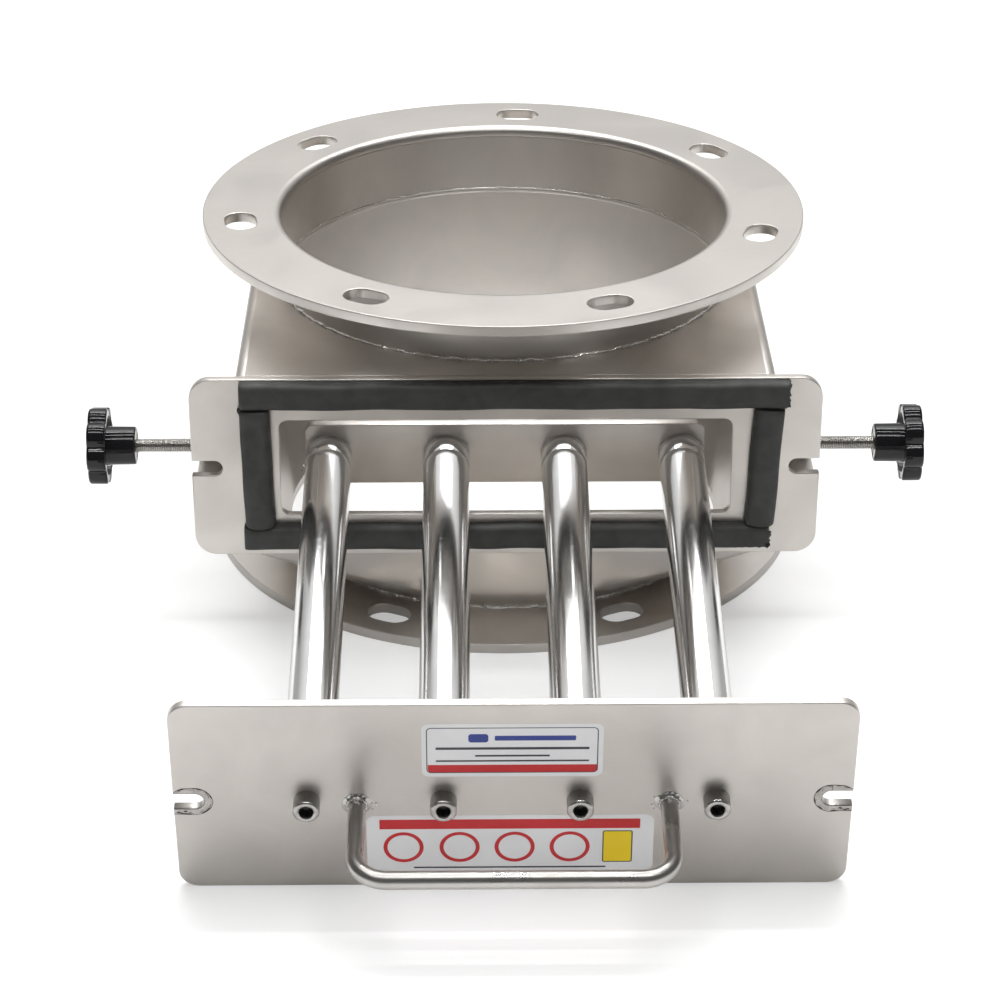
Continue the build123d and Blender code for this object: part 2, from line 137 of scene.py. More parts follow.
class MeshBuilder:
    """Collects computed surfaces and makes one mesh object of them."""

    def __init__(self) -> None:
        """Starts with no surface."""
        self.vertices: list[np.ndarray] = []
        self.faces: list[tuple[int, ...]] = []
        self.smooth: list[bool] = []
        self.slots: list[int] = []
        self.uvs: list[np.ndarray] = []
        self.count = 0

    def add(
        self,
        vertices: np.ndarray,
        faces: np.ndarray,
        smooth: bool = True,
        slot: int = 0,
        uv: np.ndarray | None = None,
    ) -> None:
        """Adds faces with their own vertices.

        Args:
            vertices: Points in local millimetres, one row each.
            faces: Vertex numbers, one row for each face.
            smooth: Whether the faces are shaded smooth.
            slot: Which of the object's materials they take.
            uv: Surface coordinates, one row for each vertex.
        """
        self.vertices.append(np.asarray(vertices, float))
        self.faces.extend(map(tuple, (np.asarray(faces) + self.count).tolist()))
        self.smooth.extend([smooth] * len(faces))
        self.slots.extend([slot] * len(faces))
        self.uvs.append(np.zeros((len(vertices), 2)) if uv is None else np.asarray(uv, float))
        self.count += len(vertices)

    def grid(
        self,
        points: np.ndarray,
        close_rows: bool = False,
        close_columns: bool = True,
        slot: int = 0,
        flip: bool = False,
    ) -> None:
        """Adds a grid of points as quads, wrapped where a direction is closed.

        Args:
            points: Points of shape (rows, columns, 3).
            close_rows: Whether the last row joins the first.
            close_columns: Whether the last column joins the first.
            slot: Which of the object's materials the quads take.
            flip: Whether the quads face the other way.
        """
        rows, columns = points.shape[:2]
        numbers = np.arange(rows * columns).reshape(rows, columns)
        if close_rows:
            numbers = np.vstack([numbers, numbers[:1]])
        if close_columns:
            numbers = np.hstack([numbers, numbers[:, :1]])
        quads = np.stack(
            [numbers[:-1, :-1], numbers[:-1, 1:], numbers[1:, 1:], numbers[1:, :-1]], axis=-1
        ).reshape(-1, 4)
        if flip:
            quads = quads[:, ::-1]
        across, along = np.meshgrid(np.linspace(0, 1, columns), np.linspace(0, 1, rows))
        surface = np.stack([across.ravel(), along.ravel()], axis=1)
        self.add(points.reshape(-1, 3), quads, slot=slot, uv=surface)

    def build(self, name: str, place: Placement, finishes: list[Finish]) -> bpy.types.Object:
        """Makes the object at the origin with its place in its mesh.

        Args:
            name: The piece's name.
            place: Where the local millimetres lie.
            finishes: The finishes, in the order of the slots.

        Returns:
            The mesh object, linked to the scene.
        """
        mesh = bpy.data.meshes.new(name)
        mesh.from_pydata(place.carry(np.vstack(self.vertices)).tolist(), [], self.faces)
        mesh.polygons.foreach_set("use_smooth", self.smooth)
        mesh.polygons.foreach_set("material_index", self.slots)
        corner_vertices = np.zeros(len(mesh.loops), int)
        mesh.loops.foreach_get("vertex_index", corner_vertices)
        layer = mesh.uv_layers.new(name="surface")
        layer.data.foreach_set("uv", np.vstack(self.uvs)[corner_vertices].ravel())
        for finish in finishes:
            mesh.materials.append(bpy.data.materials[finish.value])
        mesh.update()
        return place_object(name, mesh)


def arc(radius: float, start: float, sweep: float, steps: int, x: float = 0.0, y: float = 0.0) -> Loop:
    """Points on an arc: the centre plus the radius times cosine and sine of the angle.

    Args:
        radius: The arc's radius.
        start: First angle in degrees.
        sweep: Angle swept in degrees.
        steps: Number of intervals.
        x: The centre's x.
        y: The centre's y.

    Returns:
        The points, both ends included.
    """
    angle = np.radians(start + sweep * np.linspace(0, 1, steps + 1))
    return np.stack([x + radius * np.cos(angle), y + radius * np.sin(angle)], axis=1)


def circle(radius: float, x: float = 0.0, y: float = 0.0, steps: int = 64) -> Loop:
    """A closed circle, counterclockwise, without a repeated point."""
    return arc(radius, 0, 360, steps, x, y)[:-1]


def rounded_rectangle(width: float, height: float, radius: float, steps: int = 10) -> Loop:
    """A rectangle round the origin with arcs at its corners, counterclockwise.

    Args:
        width: The rectangle's width.
        height: The rectangle's height.
        radius: The corners' radius.
        steps: Number of intervals of a corner.

    Returns:
        The closed loop, without a repeated point.
    """
    half_w = width / 2 - radius
    half_h = height / 2 - radius
    corners = ((half_w, half_h, 0), (-half_w, half_h, 90), (-half_w, -half_h, 180), (half_w, -half_h, 270))
    return np.vstack([arc(radius, start, 90, steps, x, y) for x, y, start in corners])


def notched_plate(
    width: float, height: float, radius: float, slot_width: float, slot_depth: float, slot_y: float = 0.0
) -> Loop:
    """A rounded rectangle with an open round-ended slot at slot_y on each short side.

    The right half runs from the lower to the upper corner round its slot, and the left half is
    its mirror image, taken backwards.

    Args:
        width: The plate's width.
        height: The plate's height.
        radius: The corners' radius.
        slot_width: A slot's width.
        slot_depth: How far a slot reaches in.
        slot_y: Height of the slots' middle line.

    Returns:
        The closed loop, without a repeated point.
    """
    half_w = width / 2 - radius
    half_h = height / 2 - radius
    slot_centre = width / 2 - slot_depth + slot_width / 2
    right = np.vstack(
        [
            arc(radius, 270, 90, 10, half_w, -half_h),
            [[width / 2, slot_y - slot_width / 2]],
            arc(slot_width / 2, 270, -180, 16, slot_centre, slot_y),
            [[width / 2, slot_y + slot_width / 2]],
            arc(radius, 0, 90, 10, half_w, half_h),
        ]
    )
    return np.vstack([right, right[::-1] * (-1, 1)])


def turned(loop: Loop, degrees: float, x: float = 0.0, y: float = 0.0) -> Loop:
    """The loop moved by x and y and then turned about the origin."""
    c, s = math.cos(math.radians(degrees)), math.sin(math.radians(degrees))
    return (loop + np.array([x, y])) @ np.array([[c, s], [-s, c]])


def inset(loop: Loop, distance: float) -> Loop:
    """Moves each point of a closed loop to its left by the distance, with mitred corners.

    The way is the sum of both edges' left normals, over half the square of its length.

    Args:
        loop: The closed loop.
        distance: How far each edge moves.

    Returns:
        The moved loop.
    """
    along = np.roll(loop, -1, axis=0) - loop
    along = along / np.maximum(np.linalg.norm(along, axis=1, keepdims=True), 1e-9)
    left = np.stack([-along[:, 1], along[:, 0]], axis=1)
    bisector = left + np.roll(left, 1, axis=0)
    square = np.maximum((bisector**2).sum(axis=1, keepdims=True), SHARPEST_MITRE)
    return loop + distance * 2 * bisector / square


def smooth_noise(x: np.ndarray, seed: int, wavelength: float, waves: int = 7) -> np.ndarray:
    """A smooth wandering value between about -1 and 1: a sum of sines of random length and phase.

    Args:
        x: Where it is read.
        seed: Which curve of this kind it is.
        wavelength: The sines' middle length.
        waves: Number of sines.

    Returns:
        The value at each x.
    """
    draws = np.random.default_rng(seed)
    total = np.zeros_like(np.asarray(x, float))
    for _ in range(waves):
        length = wavelength * draws.uniform(0.5, 2.0)
        total = total + np.sin(2 * np.pi * (x / length + draws.uniform()))
    return total / math.sqrt(waves)


def around_axis(radius: np.ndarray, angle: np.ndarray, z: np.ndarray, x: float = 0.0) -> np.ndarray:
    """Points round an upright axis: radius times cosine and sine of the angle, and the height.

    Args:
        radius: Distances from the axis.
        angle: Angles in radians.
        z: Heights.
        x: Where the axis stands along x.

    Returns:
        The points, in the shape that the three have together.
    """
    radius, angle, z = np.broadcast_arrays(radius, angle, z)
    return np.stack([x + radius * np.cos(angle), radius * np.sin(angle), z], axis=-1)


def add_plate(
    builder: MeshBuilder,
    outline: Loop,
    holes: list[Loop],
    thickness: float,
    edge: float = 0.4,
    hole_edges: dict[int, float] | None = None,
    slot: int = 0,
    base: float = 0.0,
) -> None:
    """Adds a flat plate on a level, with rounded edges round its outline and holes.

    Each loop is carried up a profile: a quarter circle in, straight up, and a quarter circle out.
    The two flat faces are the loops of the profile's ends, filled with triangles.

    Args:
        builder: Where the plate goes.
        outline: The outer loop, counterclockwise.
        holes: Inner loops, counterclockwise.
        thickness: The plate's thickness.
        edge: Radius of all edges.
        hole_edges: Radius of the upper edge of a hole, by the hole's number.
        slot: Which of the object's materials the plate takes.
        base: Height of its lower face.
    """
    lower_rims: list[np.ndarray] = []
    upper_rims: list[np.ndarray] = []
    for number, loop in enumerate([outline, *[hole[::-1] for hole in holes]]):
        upper = (hole_edges or {}).get(number - 1, edge)
        turn = np.linspace(0, np.pi / 2, 5)
        profile = np.vstack(
            [
                np.stack([edge * (1 - np.sin(turn)), edge * (1 - np.cos(turn))], axis=1),
                np.stack([upper * (1 - np.cos(turn)), thickness - upper * (1 - np.sin(turn))], axis=1),
            ]
        )
        rows = [np.column_stack([inset(loop, depth), np.full(len(loop), base + z)]) for depth, z in profile]
        builder.grid(np.stack(rows), slot=slot)
        lower_rims.append(rows[0])
        upper_rims.append(rows[-1])
    for rims, up in ((lower_rims, False), (upper_rims, True)):
        points = np.vstack(rims)
        triangles = np.array(geometry.tessellate_polygon([[tuple(p) for p in rim] for rim in rims]))
        a, b, c = (points[triangles[:, i], :2] for i in range(3))
        area = (b[:, 0] - a[:, 0]) * (c[:, 1] - a[:, 1]) - (b[:, 1] - a[:, 1]) * (c[:, 0] - a[:, 0])
        wrong = (area > 0) != up
        triangles[wrong] = triangles[wrong][:, ::-1]
        builder.add(points, triangles, smooth=False, slot=slot)


def revolve(builder: MeshBuilder, profile: np.ndarray, steps: int = 96, slot: int = 0) -> None:
    """Adds a turned surface: each profile point (radius, z) is carried round the z axis.

    The profile runs so that the material is on its left when radius points right and z up.

    Args:
        builder: Where the surface goes.
        profile: One row of radius and z for each point.
        steps: Number of points round the axis.
        slot: Which of the object's materials it takes.
    """
    angle = np.linspace(0, 2 * np.pi, steps, endpoint=False)
    radius, z = np.asarray(profile, float).T[:, :, None]
    builder.grid(around_axis(radius, angle, z), slot=slot)


def add_tube(
    builder: MeshBuilder,
    path: np.ndarray,
    radius: np.ndarray,
    reference: Triple,
    closed: bool = False,
    sides: int = 16,
    slot: int = 0,
) -> None:
    """Adds a round rod along a path: a circle stands across the path's direction at each point.

    The circle's first axis is the direction crossed with the reference vector. Open ends are closed
    with a last ring of almost no radius.

    Args:
        builder: Where the rod goes.
        path: The centre line, one row for each point.
        radius: The rod's radius at each point.
        reference: A vector that the path never runs along.
        closed: Whether the path's end joins its start.
        sides: Number of points round the rod.
        slot: Which of the object's materials the rod takes.
    """
    if closed:
        along = np.roll(path, -1, axis=0) - np.roll(path, 1, axis=0)
    else:
        along = np.gradient(path, axis=0)
        path = np.vstack([path[:1], path, path[-1:]])
        along = np.vstack([along[:1], along, along[-1:]])
        radius = np.concatenate([[1e-3], radius, [1e-3]])
    along = along / np.linalg.norm(along, axis=1, keepdims=True)
    first = np.cross(along, np.array(reference, float))
    first = first / np.linalg.norm(first, axis=1, keepdims=True)
    second = np.cross(along, first)
    angle = np.linspace(0, 2 * np.pi, sides, endpoint=False)[:, None]
    ring = np.cos(angle) * first[:, None] + np.sin(angle) * second[:, None]
    builder.grid(path[:, None] + radius[:, None, None] * ring, close_rows=closed, slot=slot)


@dataclass(frozen=True)
class Bead:
    """An irregular weld bead: a rod whose thickness ripples along its path.

    Args:
        radius: Mean radius of the bead.
        ripple: Length of one ripple of the weld pool.
        wander: How far the thickness wanders, as a share of the radius.
        seed: Which bead of this kind it is.
    """

    radius: float
    ripple: float = 2.2
    wander: float = 0.22
    seed: int = 1

    def add_to(
        self, builder: MeshBuilder, path: np.ndarray, reference: Triple, closed: bool = False
    ) -> None:
        """Adds the bead along a path.

        The radius is the mean one times one plus a slow wander plus a scalloped ripple, which is the
        absolute sine of the length along the path. The path itself drifts along the reference.

        Args:
            builder: Where the bead goes.
            path: The seam's line, one row for each point.
            reference: A vector that the path never runs along.
            closed: Whether the path's end joins its start.
        """
        steps = np.linalg.norm(np.diff(path, axis=0, append=path[:1] if closed else path[-1:]), axis=1)
        length = np.concatenate([[0], np.cumsum(steps)[:-1]])
        slow = smooth_noise(length, self.seed, 18.0)
        scallop = np.abs(np.sin(np.pi * length / self.ripple + slow))
        radius = self.radius * (1 + self.wander * slow * 0.6 + 0.25 * scallop - 0.12)
        drift = smooth_noise(length, self.seed + 50, 11.0) * self.radius * self.wander * 0.6
        lifted = path + drift[:, None] * np.array(reference, float)
        add_tube(builder, lifted, radius, reference, closed=closed, sides=10)


def straight(start: Triple, end: Triple, spacing: float = 0.5) -> np.ndarray:
    """Evenly spaced points on a straight line.

    Args:
        start: The first point.
        end: The last point.
        spacing: The wanted distance between two points.

    Returns:
        The points, both ends included.
    """
    first, last = np.array(start, float), np.array(end, float)
    count = max(int(np.linalg.norm(last - first) / spacing), 2)
    share = np.linspace(0, 1, count)[:, None]
    return first * (1 - share) + last * share


def ring_path(radius: float, z: float, spacing: float = 0.6) -> np.ndarray:
    """Evenly spaced points on a level circle round the z axis."""
    count = int(2 * np.pi * radius / spacing)
    return np.column_stack([circle(radius, steps=count), np.full(count, z)])


class ShaderTree:
    """Builds the node tree of a material or of a shared node group, step by step."""

    def __init__(self, tree: bpy.types.NodeTree) -> None:
        """Takes an empty node tree."""
        self.tree = tree

    def node(self, kind: str, **settings: object) -> bpy.types.Node:
        """Adds a node and sets its properties, and its inputs where a name is one.

        Args:
            kind: The node's Blender type.
            settings: Properties or inputs by their names, with a space written as an underscore.

        Returns:
            The node.
        """
        made = self.tree.nodes.new(kind)
        for name, value in settings.items():
            if hasattr(made, name):
                setattr(made, name, value)
            else:
                made.inputs[name.replace("_", " ")].default_value = value
        return made

    def link(self, source: Socket, target: Socket) -> None:
        """Joins two sockets."""
        self.tree.links.new(source, target)

    def feed(self, target: Socket, value: float | Socket) -> None:
        """Gives an input a fixed number, or joins it to the socket that makes its value.

        Args:
            target: The input.
            value: The number or the socket.
        """
        if isinstance(value, Socket):
            self.link(value, target)
        else:
            target.default_value = value

    def calculate(self, operation: str, *values: float | Socket, clamp: bool = False) -> Socket:
        """Works out one value of others.

        Args:
            operation: The math node's operation.
            values: Its inputs in their order, numbers or sockets.
            clamp: Whether the result is kept between 0 and 1.

        Returns:
            The result's socket.
        """
        made = self.node("ShaderNodeMath", operation=operation, use_clamp=clamp)
        for target, value in zip(made.inputs, values):
            self.feed(target, value)
        return made.outputs[0]

    def ramp(
        self,
        source: Socket,
        low: float,
        high: float,
        out_low: float,
        out_high: float | Socket,
        kind: str = "LINEAR",
    ) -> Socket:
        """Maps a value from one range to another.

        Args:
            source: The value.
            low: Where the range begins.
            high: Where it ends.
            out_low: The result at its beginning.
            out_high: The result at its end.
            kind: How the result goes from one to the other.

        Returns:
            The result's socket.
        """
        made = self.node("ShaderNodeMapRange", interpolation_type=kind)
        for target, value in zip(made.inputs, (source, low, high, out_low, out_high)):
            self.feed(target, value)
        return made.outputs[0]

    def mix(self, factor: Socket, dark: Colour, light: Colour) -> Socket:
        """Mixes two colours.

        Args:
            factor: The light colour's share.
            dark: The colour at 0.
            light: The colour at 1.

        Returns:
            The colour's socket.
        """
        made = self.node("ShaderNodeMix", data_type="RGBA")
        self.link(factor, made.inputs[0])
        made.inputs[6].default_value = (*dark, 1)
        made.inputs[7].default_value = (*light, 1)
        return made.outputs[2]

    def shared(self, group: bpy.types.NodeTree, vector: Socket, scale: float) -> Socket:
        """Places a shared effect.

        Args:
            group: The effect's node group.
            vector: The coordinates that it reads.
            scale: Its features in each metre.

        Returns:
            The socket of the effect's value.
        """
        made = self.node("ShaderNodeGroup", node_tree=group, Scale=scale)
        self.link(vector, made.inputs["Vector"])
        return made.outputs[0]

    def bump(self, shader: bpy.types.Node, height: Socket, depth: float) -> None:
        """Gives a shader a bump.

        Args:
            shader: The Principled shader.
            height: The bump's height, from 0 to 1.
            depth: What a height of 1 stands for, in metres.
        """
        made = self.node("ShaderNodeBump", Distance=depth, Strength=1.0)
        self.link(height, made.inputs["Height"])
        self.link(made.outputs[0], shader.inputs["Normal"])


def empty_tree(owner: bpy.types.Material | bpy.types.World) -> ShaderTree:
    """Gives a material or a world an empty node tree.

    Args:
        owner: The material or the world.

    Returns:
        Its tree.
    """
    owner.use_nodes = True
    owner.node_tree.nodes.clear()
    return ShaderTree(owner.node_tree)


class SharedEffects:
    """Node groups that several finishes share, each built once."""

    def __init__(self) -> None:
        """Builds the grain, smudge and scratch groups."""
        self.grain = self._group("blasted_grain", self._grain_body)
        self.smudge = self._group("handling_smudges", self._smudge_body)
        self.scratch = self._group("hairline_scratches", self._scratch_body)

    def _group(
        self, name: str, body: Callable[[ShaderTree, Socket, Socket], Socket]
    ) -> bpy.types.NodeTree:
        """Makes a group with a vector and a size in, and one value out.

        Args:
            name: The group's name.
            body: What adds the group's own nodes and returns the socket of its value.

        Returns:
            The group.
        """
        group = bpy.data.node_groups.new(name, "ShaderNodeTree")
        group.interface.new_socket(name="Vector", in_out="INPUT", socket_type="NodeSocketVector")
        group.interface.new_socket(name="Scale", in_out="INPUT", socket_type="NodeSocketFloat")
        group.interface.new_socket(name="Value", in_out="OUTPUT", socket_type="NodeSocketFloat")
        tree = ShaderTree(group)
        start = tree.node("NodeGroupInput")
        end = tree.node("NodeGroupOutput")
        tree.link(body(tree, start.outputs["Vector"], start.outputs["Scale"]), end.inputs["Value"])
        return group

    def _noise(self, tree: ShaderTree, vector: Socket, scale: Socket, **settings: float) -> Socket:
        """A noise on the group's own vector and scale.

        Args:
            tree: The group's tree.
            vector: The group's vector.
            scale: The group's scale.
            settings: The noise's other inputs.

        Returns:
            The socket of the noise.
        """
        noise = tree.node("ShaderNodeTexNoise", **settings)
        tree.link(vector, noise.inputs["Vector"])
        tree.link(scale, noise.inputs["Scale"])
        return noise.outputs["Fac"]

    def _grain_body(self, tree: ShaderTree, vector: Socket, scale: Socket) -> Socket:
        """Fine even noise, as glass beads leave on sheet steel."""
        return self._noise(tree, vector, scale, Detail=3.0, Roughness=0.7)

    def _smudge_body(self, tree: ShaderTree, vector: Socket, scale: Socket) -> Socket:
        """Broad soft clouds with a clear middle, as wiping and hands leave."""
        cloud = self._noise(tree, vector, scale, Detail=4.0, Roughness=0.55, Distortion=0.6)
        return tree.ramp(cloud, 0.35, 0.65, 0.0, 1.0)

    def _scratch_body(self, tree: ShaderTree, vector: Socket, scale: Socket) -> Socket:
        """Thin lines where a noise passes its middle value.

        Args:
            tree: The group's tree.
            vector: The group's vector.
            scale: The group's scale.

        Returns:
            The socket of the lines, 1 on a line and 0 beside it.
        """
        lines = self._noise(tree, vector, scale, Detail=1.0, Roughness=0.4)
        away = tree.calculate("ABSOLUTE", tree.calculate("SUBTRACT", lines, 0.5))
        return tree.ramp(away, 0.0, 0.012, 1.0, 0.0)


def material_tree(finish: Finish) -> tuple[ShaderTree, bpy.types.Node, Socket]:
    """Makes an empty material for a finish.

    Args:
        finish: The finish that the material stands for.

    Returns:
        Its tree, its Principled shader and the object coordinates.
    """
    tree = empty_tree(bpy.data.materials.new(finish.value))
    shader = tree.node("ShaderNodeBsdfPrincipled")
    output = tree.node("ShaderNodeOutputMaterial")
    tree.link(shader.outputs[0], output.inputs[0])
    place = tree.node("ShaderNodeTexCoord")
    return tree, shader, place.outputs["Object"]


@dataclass(frozen=True)
class SteelFinish:
    """A bare steel surface, from bead-blasted to mirror-polished.

    Args:
        finish: Which finish it is.
        dark: Colour in the smudges' dark parts.
        light: Colour elsewhere.
        smooth: Lowest roughness.
        rough: Highest roughness.
        grain_scale: Grains in each metre.
        grain_depth: Bump height of the grain in metres.
        smudge_scale: Smudges in each metre.
        stretch: How the pattern is scaled along each axis, for drawn or turned surfaces.
        turn: The pattern's turn about each axis in radians, before it is scaled.
        scratches: How much scratches raise the roughness.
        brushed: How much the polish spreads reflections along a turned piece's axis.
    """

    finish: Finish
    dark: Colour
    light: Colour
    smooth: float
    rough: float
    grain_scale: float = 1800.0
    grain_depth: float = 1.2e-5
    smudge_scale: float = 22.0
    stretch: Triple = (1.0, 1.0, 1.0)
    turn: Triple = (0.0, 0.0, 0.0)
    scratches: float = 0.0
    brushed: float = 0.0

    def build(self, effects: SharedEffects) -> None:
        """Builds the material: smudges tint and roughen it, and grain gives it a fine bump.

        Args:
            effects: The node groups that the finishes share.
        """
        tree, shader, place = material_tree(self.finish)
        shader.inputs["Metallic"].default_value = 1.0
        aligned = tree.node("ShaderNodeMapping", Rotation=self.turn, Scale=self.stretch)
        tree.link(place, aligned.inputs["Vector"])
        smudge = tree.shared(effects.smudge, place, self.smudge_scale)
        grain = tree.shared(effects.grain, aligned.outputs[0], self.grain_scale)
        speckle = tree.ramp(grain, 0.3, 0.7, -0.5, 0.5)
        blend = tree.calculate("MULTIPLY_ADD", speckle, SPECKLE_SHARE, smudge, clamp=True)
        tree.link(tree.mix(blend, self.dark, self.light), shader.inputs["Base Color"])
        roughness = tree.ramp(smudge, 0.0, 1.0, self.rough, self.smooth)
        if self.scratches:
            scratch = tree.shared(effects.scratch, aligned.outputs[0], self.smudge_scale)
            roughness = tree.calculate("MULTIPLY_ADD", scratch, self.scratches, roughness)
        tree.link(roughness, shader.inputs["Roughness"])
        if self.brushed:
            shader.inputs["Anisotropic"].default_value = self.brushed
            shader.inputs["Anisotropic Rotation"].default_value = QUARTER_TURN
            around = tree.node("ShaderNodeTangent", direction_type="UV_MAP", uv_map="surface")
            tree.link(around.outputs[0], shader.inputs["Tangent"])
        tree.bump(shader, grain, self.grain_depth)


@dataclass(frozen=True)
class SoftFinish:
    """A rubber, plastic or printed surface with a little cloudiness and grain.

    Args:
        finish: Which finish it is.
        dark: Darker colour of its clouds.
        light: Lighter colour of its clouds.
        smooth: Lowest roughness.
        rough: Highest roughness.
        grain_scale: Grains in each metre.
        grain_depth: Bump height of the grain in metres.
        cloud_scale: Clouds in each metre.
        coat: Weight of a clear glossy coat.
        specular: The shader's specular level.
    """

    finish: Finish
    dark: Colour
    light: Colour
    smooth: float
    rough: float
    grain_scale: float = 1500.0
    grain_depth: float = 2e-5
    cloud_scale: float = 40.0
    coat: float = 0.0
    specular: float = 0.5

    def build(self, effects: SharedEffects) -> None:
        """Builds the material: clouds mix its two colours, and grain gives a fine bump.

        Args:
            effects: The node groups that the finishes share.
        """
        tree, shader, place = material_tree(self.finish)
        shader.inputs["Coat Weight"].default_value = self.coat
        shader.inputs["Specular IOR Level"].default_value = self.specular
        cloud = tree.shared(effects.smudge, place, self.cloud_scale)
        tree.link(tree.mix(cloud, self.dark, self.light), shader.inputs["Base Color"])
        tree.link(tree.ramp(cloud, 0.0, 1.0, self.rough, self.smooth), shader.inputs["Roughness"])
        tree.bump(shader, tree.shared(effects.grain, place, self.grain_scale), self.grain_depth)


def drawer_lean() -> float:
    """The drawer's lean at rest in radians, which its closing joint takes back to level."""
    joint = next(j for j in frame["joints"] if j["name"] == "drawer_closing")
    return math.radians(max(joint["range_deg"]))


def steel_finishes() -> list[SteelFinish]:
    """Every bare steel finish, given by its two colours and roughnesses, its grain and its smudges.

    Returns:
        The finishes, the polished one with its pattern drawn out along the bars.
    """
    return [
        SteelFinish(
            Finish.SATIN, (0.72, 0.684, 0.645), (0.77, 0.732, 0.690), 0.34, 0.42, grain_depth=1.5e-5
        ),
        SteelFinish(
            Finish.POLISHED,
            (0.87, 0.865, 0.86),
            (0.92, 0.915, 0.91),
            0.10,
            0.14,
            700.0,
            2e-7,
            30.0,
            stretch=(1.0, 14.0, 1.0),
            turn=(-drawer_lean(), 0.0, 0.0),
            scratches=0.04,
            brushed=0.90,
        ),
        SteelFinish(
            Finish.BRIGHT, (0.60, 0.578, 0.553), (0.67, 0.647, 0.62), 0.27, 0.33, 1800.0, 1e-6, 30.0
        ),
        SteelFinish(
            Finish.SCREW, (0.56, 0.545, 0.52), (0.66, 0.645, 0.62), 0.24, 0.32, 1500.0, 1e-6, 60.0
        ),
        # Darker: painted shade on the ribbed screw sides and in the thread roots.
        SteelFinish(
            Finish.SIDE_AND_ROOT_SHADE, (0.27, 0.26, 0.25), (0.37, 0.36, 0.345), 0.26, 0.36, 1500.0, 5e-6, 60.0
        ),
        SteelFinish(
            Finish.TURNED, (0.50, 0.48, 0.45), (0.62, 0.60, 0.56), 0.22, 0.35, 1500.0, 5e-6, 60.0
        ),
        SteelFinish(
            Finish.WELD, (0.62, 0.60, 0.57), (0.86, 0.84, 0.81), 0.20, 0.30, 900.0, 2e-5, 160.0
        ),
        SteelFinish(
            Finish.BURNISHED, (0.50, 0.475, 0.45), (0.62, 0.595, 0.57), 0.26, 0.36, 900.0, 2e-5, 120.0
        ),
        # Near-black: painted shade in the socket bores, and the seat marks' dark rims, lines and chips.
        SteelFinish(
            Finish.BORE_SHADE_AND_MARKS, (0.06, 0.055, 0.05), (0.12, 0.115, 0.11), 0.35, 0.5, 1500.0, 5e-6, 60.0
        ),
    ]


def soft_finishes() -> list[SoftFinish]:
    """The rubber, the knobs' plastic, and the labels' film and inks, which share all but colour.

    Returns:
        The finishes.
    """
    printed = {
        Finish.PAPER: ((0.83, 0.83, 0.84), (0.88, 0.88, 0.89)),
        Finish.RED: ((0.56, 0.012, 0.016), (0.64, 0.018, 0.024)),
        Finish.INK: ((0.035, 0.035, 0.045), (0.06, 0.06, 0.07)),
        Finish.BLUE: ((0.03, 0.05, 0.26), (0.04, 0.07, 0.32)),
        Finish.YELLOW: ((0.92, 0.66, 0.004), (0.97, 0.71, 0.008)),
    }
    return [
        SoftFinish(
            Finish.RUBBER, (0.029, 0.030, 0.028), (0.040, 0.041, 0.039), 0.46, 0.62, 2200.0, 2.5e-5, 70.0
        ),
        SoftFinish(
            Finish.PLASTIC, (0.004, 0.004, 0.005), (0.007, 0.007, 0.008), 0.03, 0.05, 900.0, 2e-7, 50.0
        ),
        *(
            SoftFinish(finish, dark, light, 0.30, 0.42, 900.0, 4e-6, 30.0, coat=0.2)
            for finish, (dark, light) in printed.items()
        ),
    ]


def build_finishes() -> None:
    """Builds every material of the object."""
    effects = SharedEffects()
    for finish in (*steel_finishes(), *soft_finishes()):
        finish.build(effects)
        LOG.info("finish %s", finish.finish.value)


def seat(piece: bpy.types.Object, body: str, slot: str, *nodes: str) -> bpy.types.Object:
    """Puts a finished piece on its body and hides the CAD nodes that it stands for.

    Args:
        piece: The finished mesh object.
        body: The CAD body that it moves with.
        slot: The record's material slot; not used.
        nodes: CAD nodes that it replaces.

    Returns:
        The piece.
    """
    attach(piece, body)
    if nodes:
        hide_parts(*nodes)
    LOG.info("piece %s on %s", piece.name, body)
    return piece


def dress_node(node: str, finish: Finish) -> None:
    """Gives a CAD node that keeps its own mesh one of the finishes.

    Args:
        node: The CAD node's name.
        finish: The finish that it takes.
    """
    piece = frame["nodes"][node]
    piece.data.materials.clear()
    piece.data.materials.append(bpy.data.materials[finish.value])
    LOG.info("node %s keeps its mesh, in %s", node, finish.value)


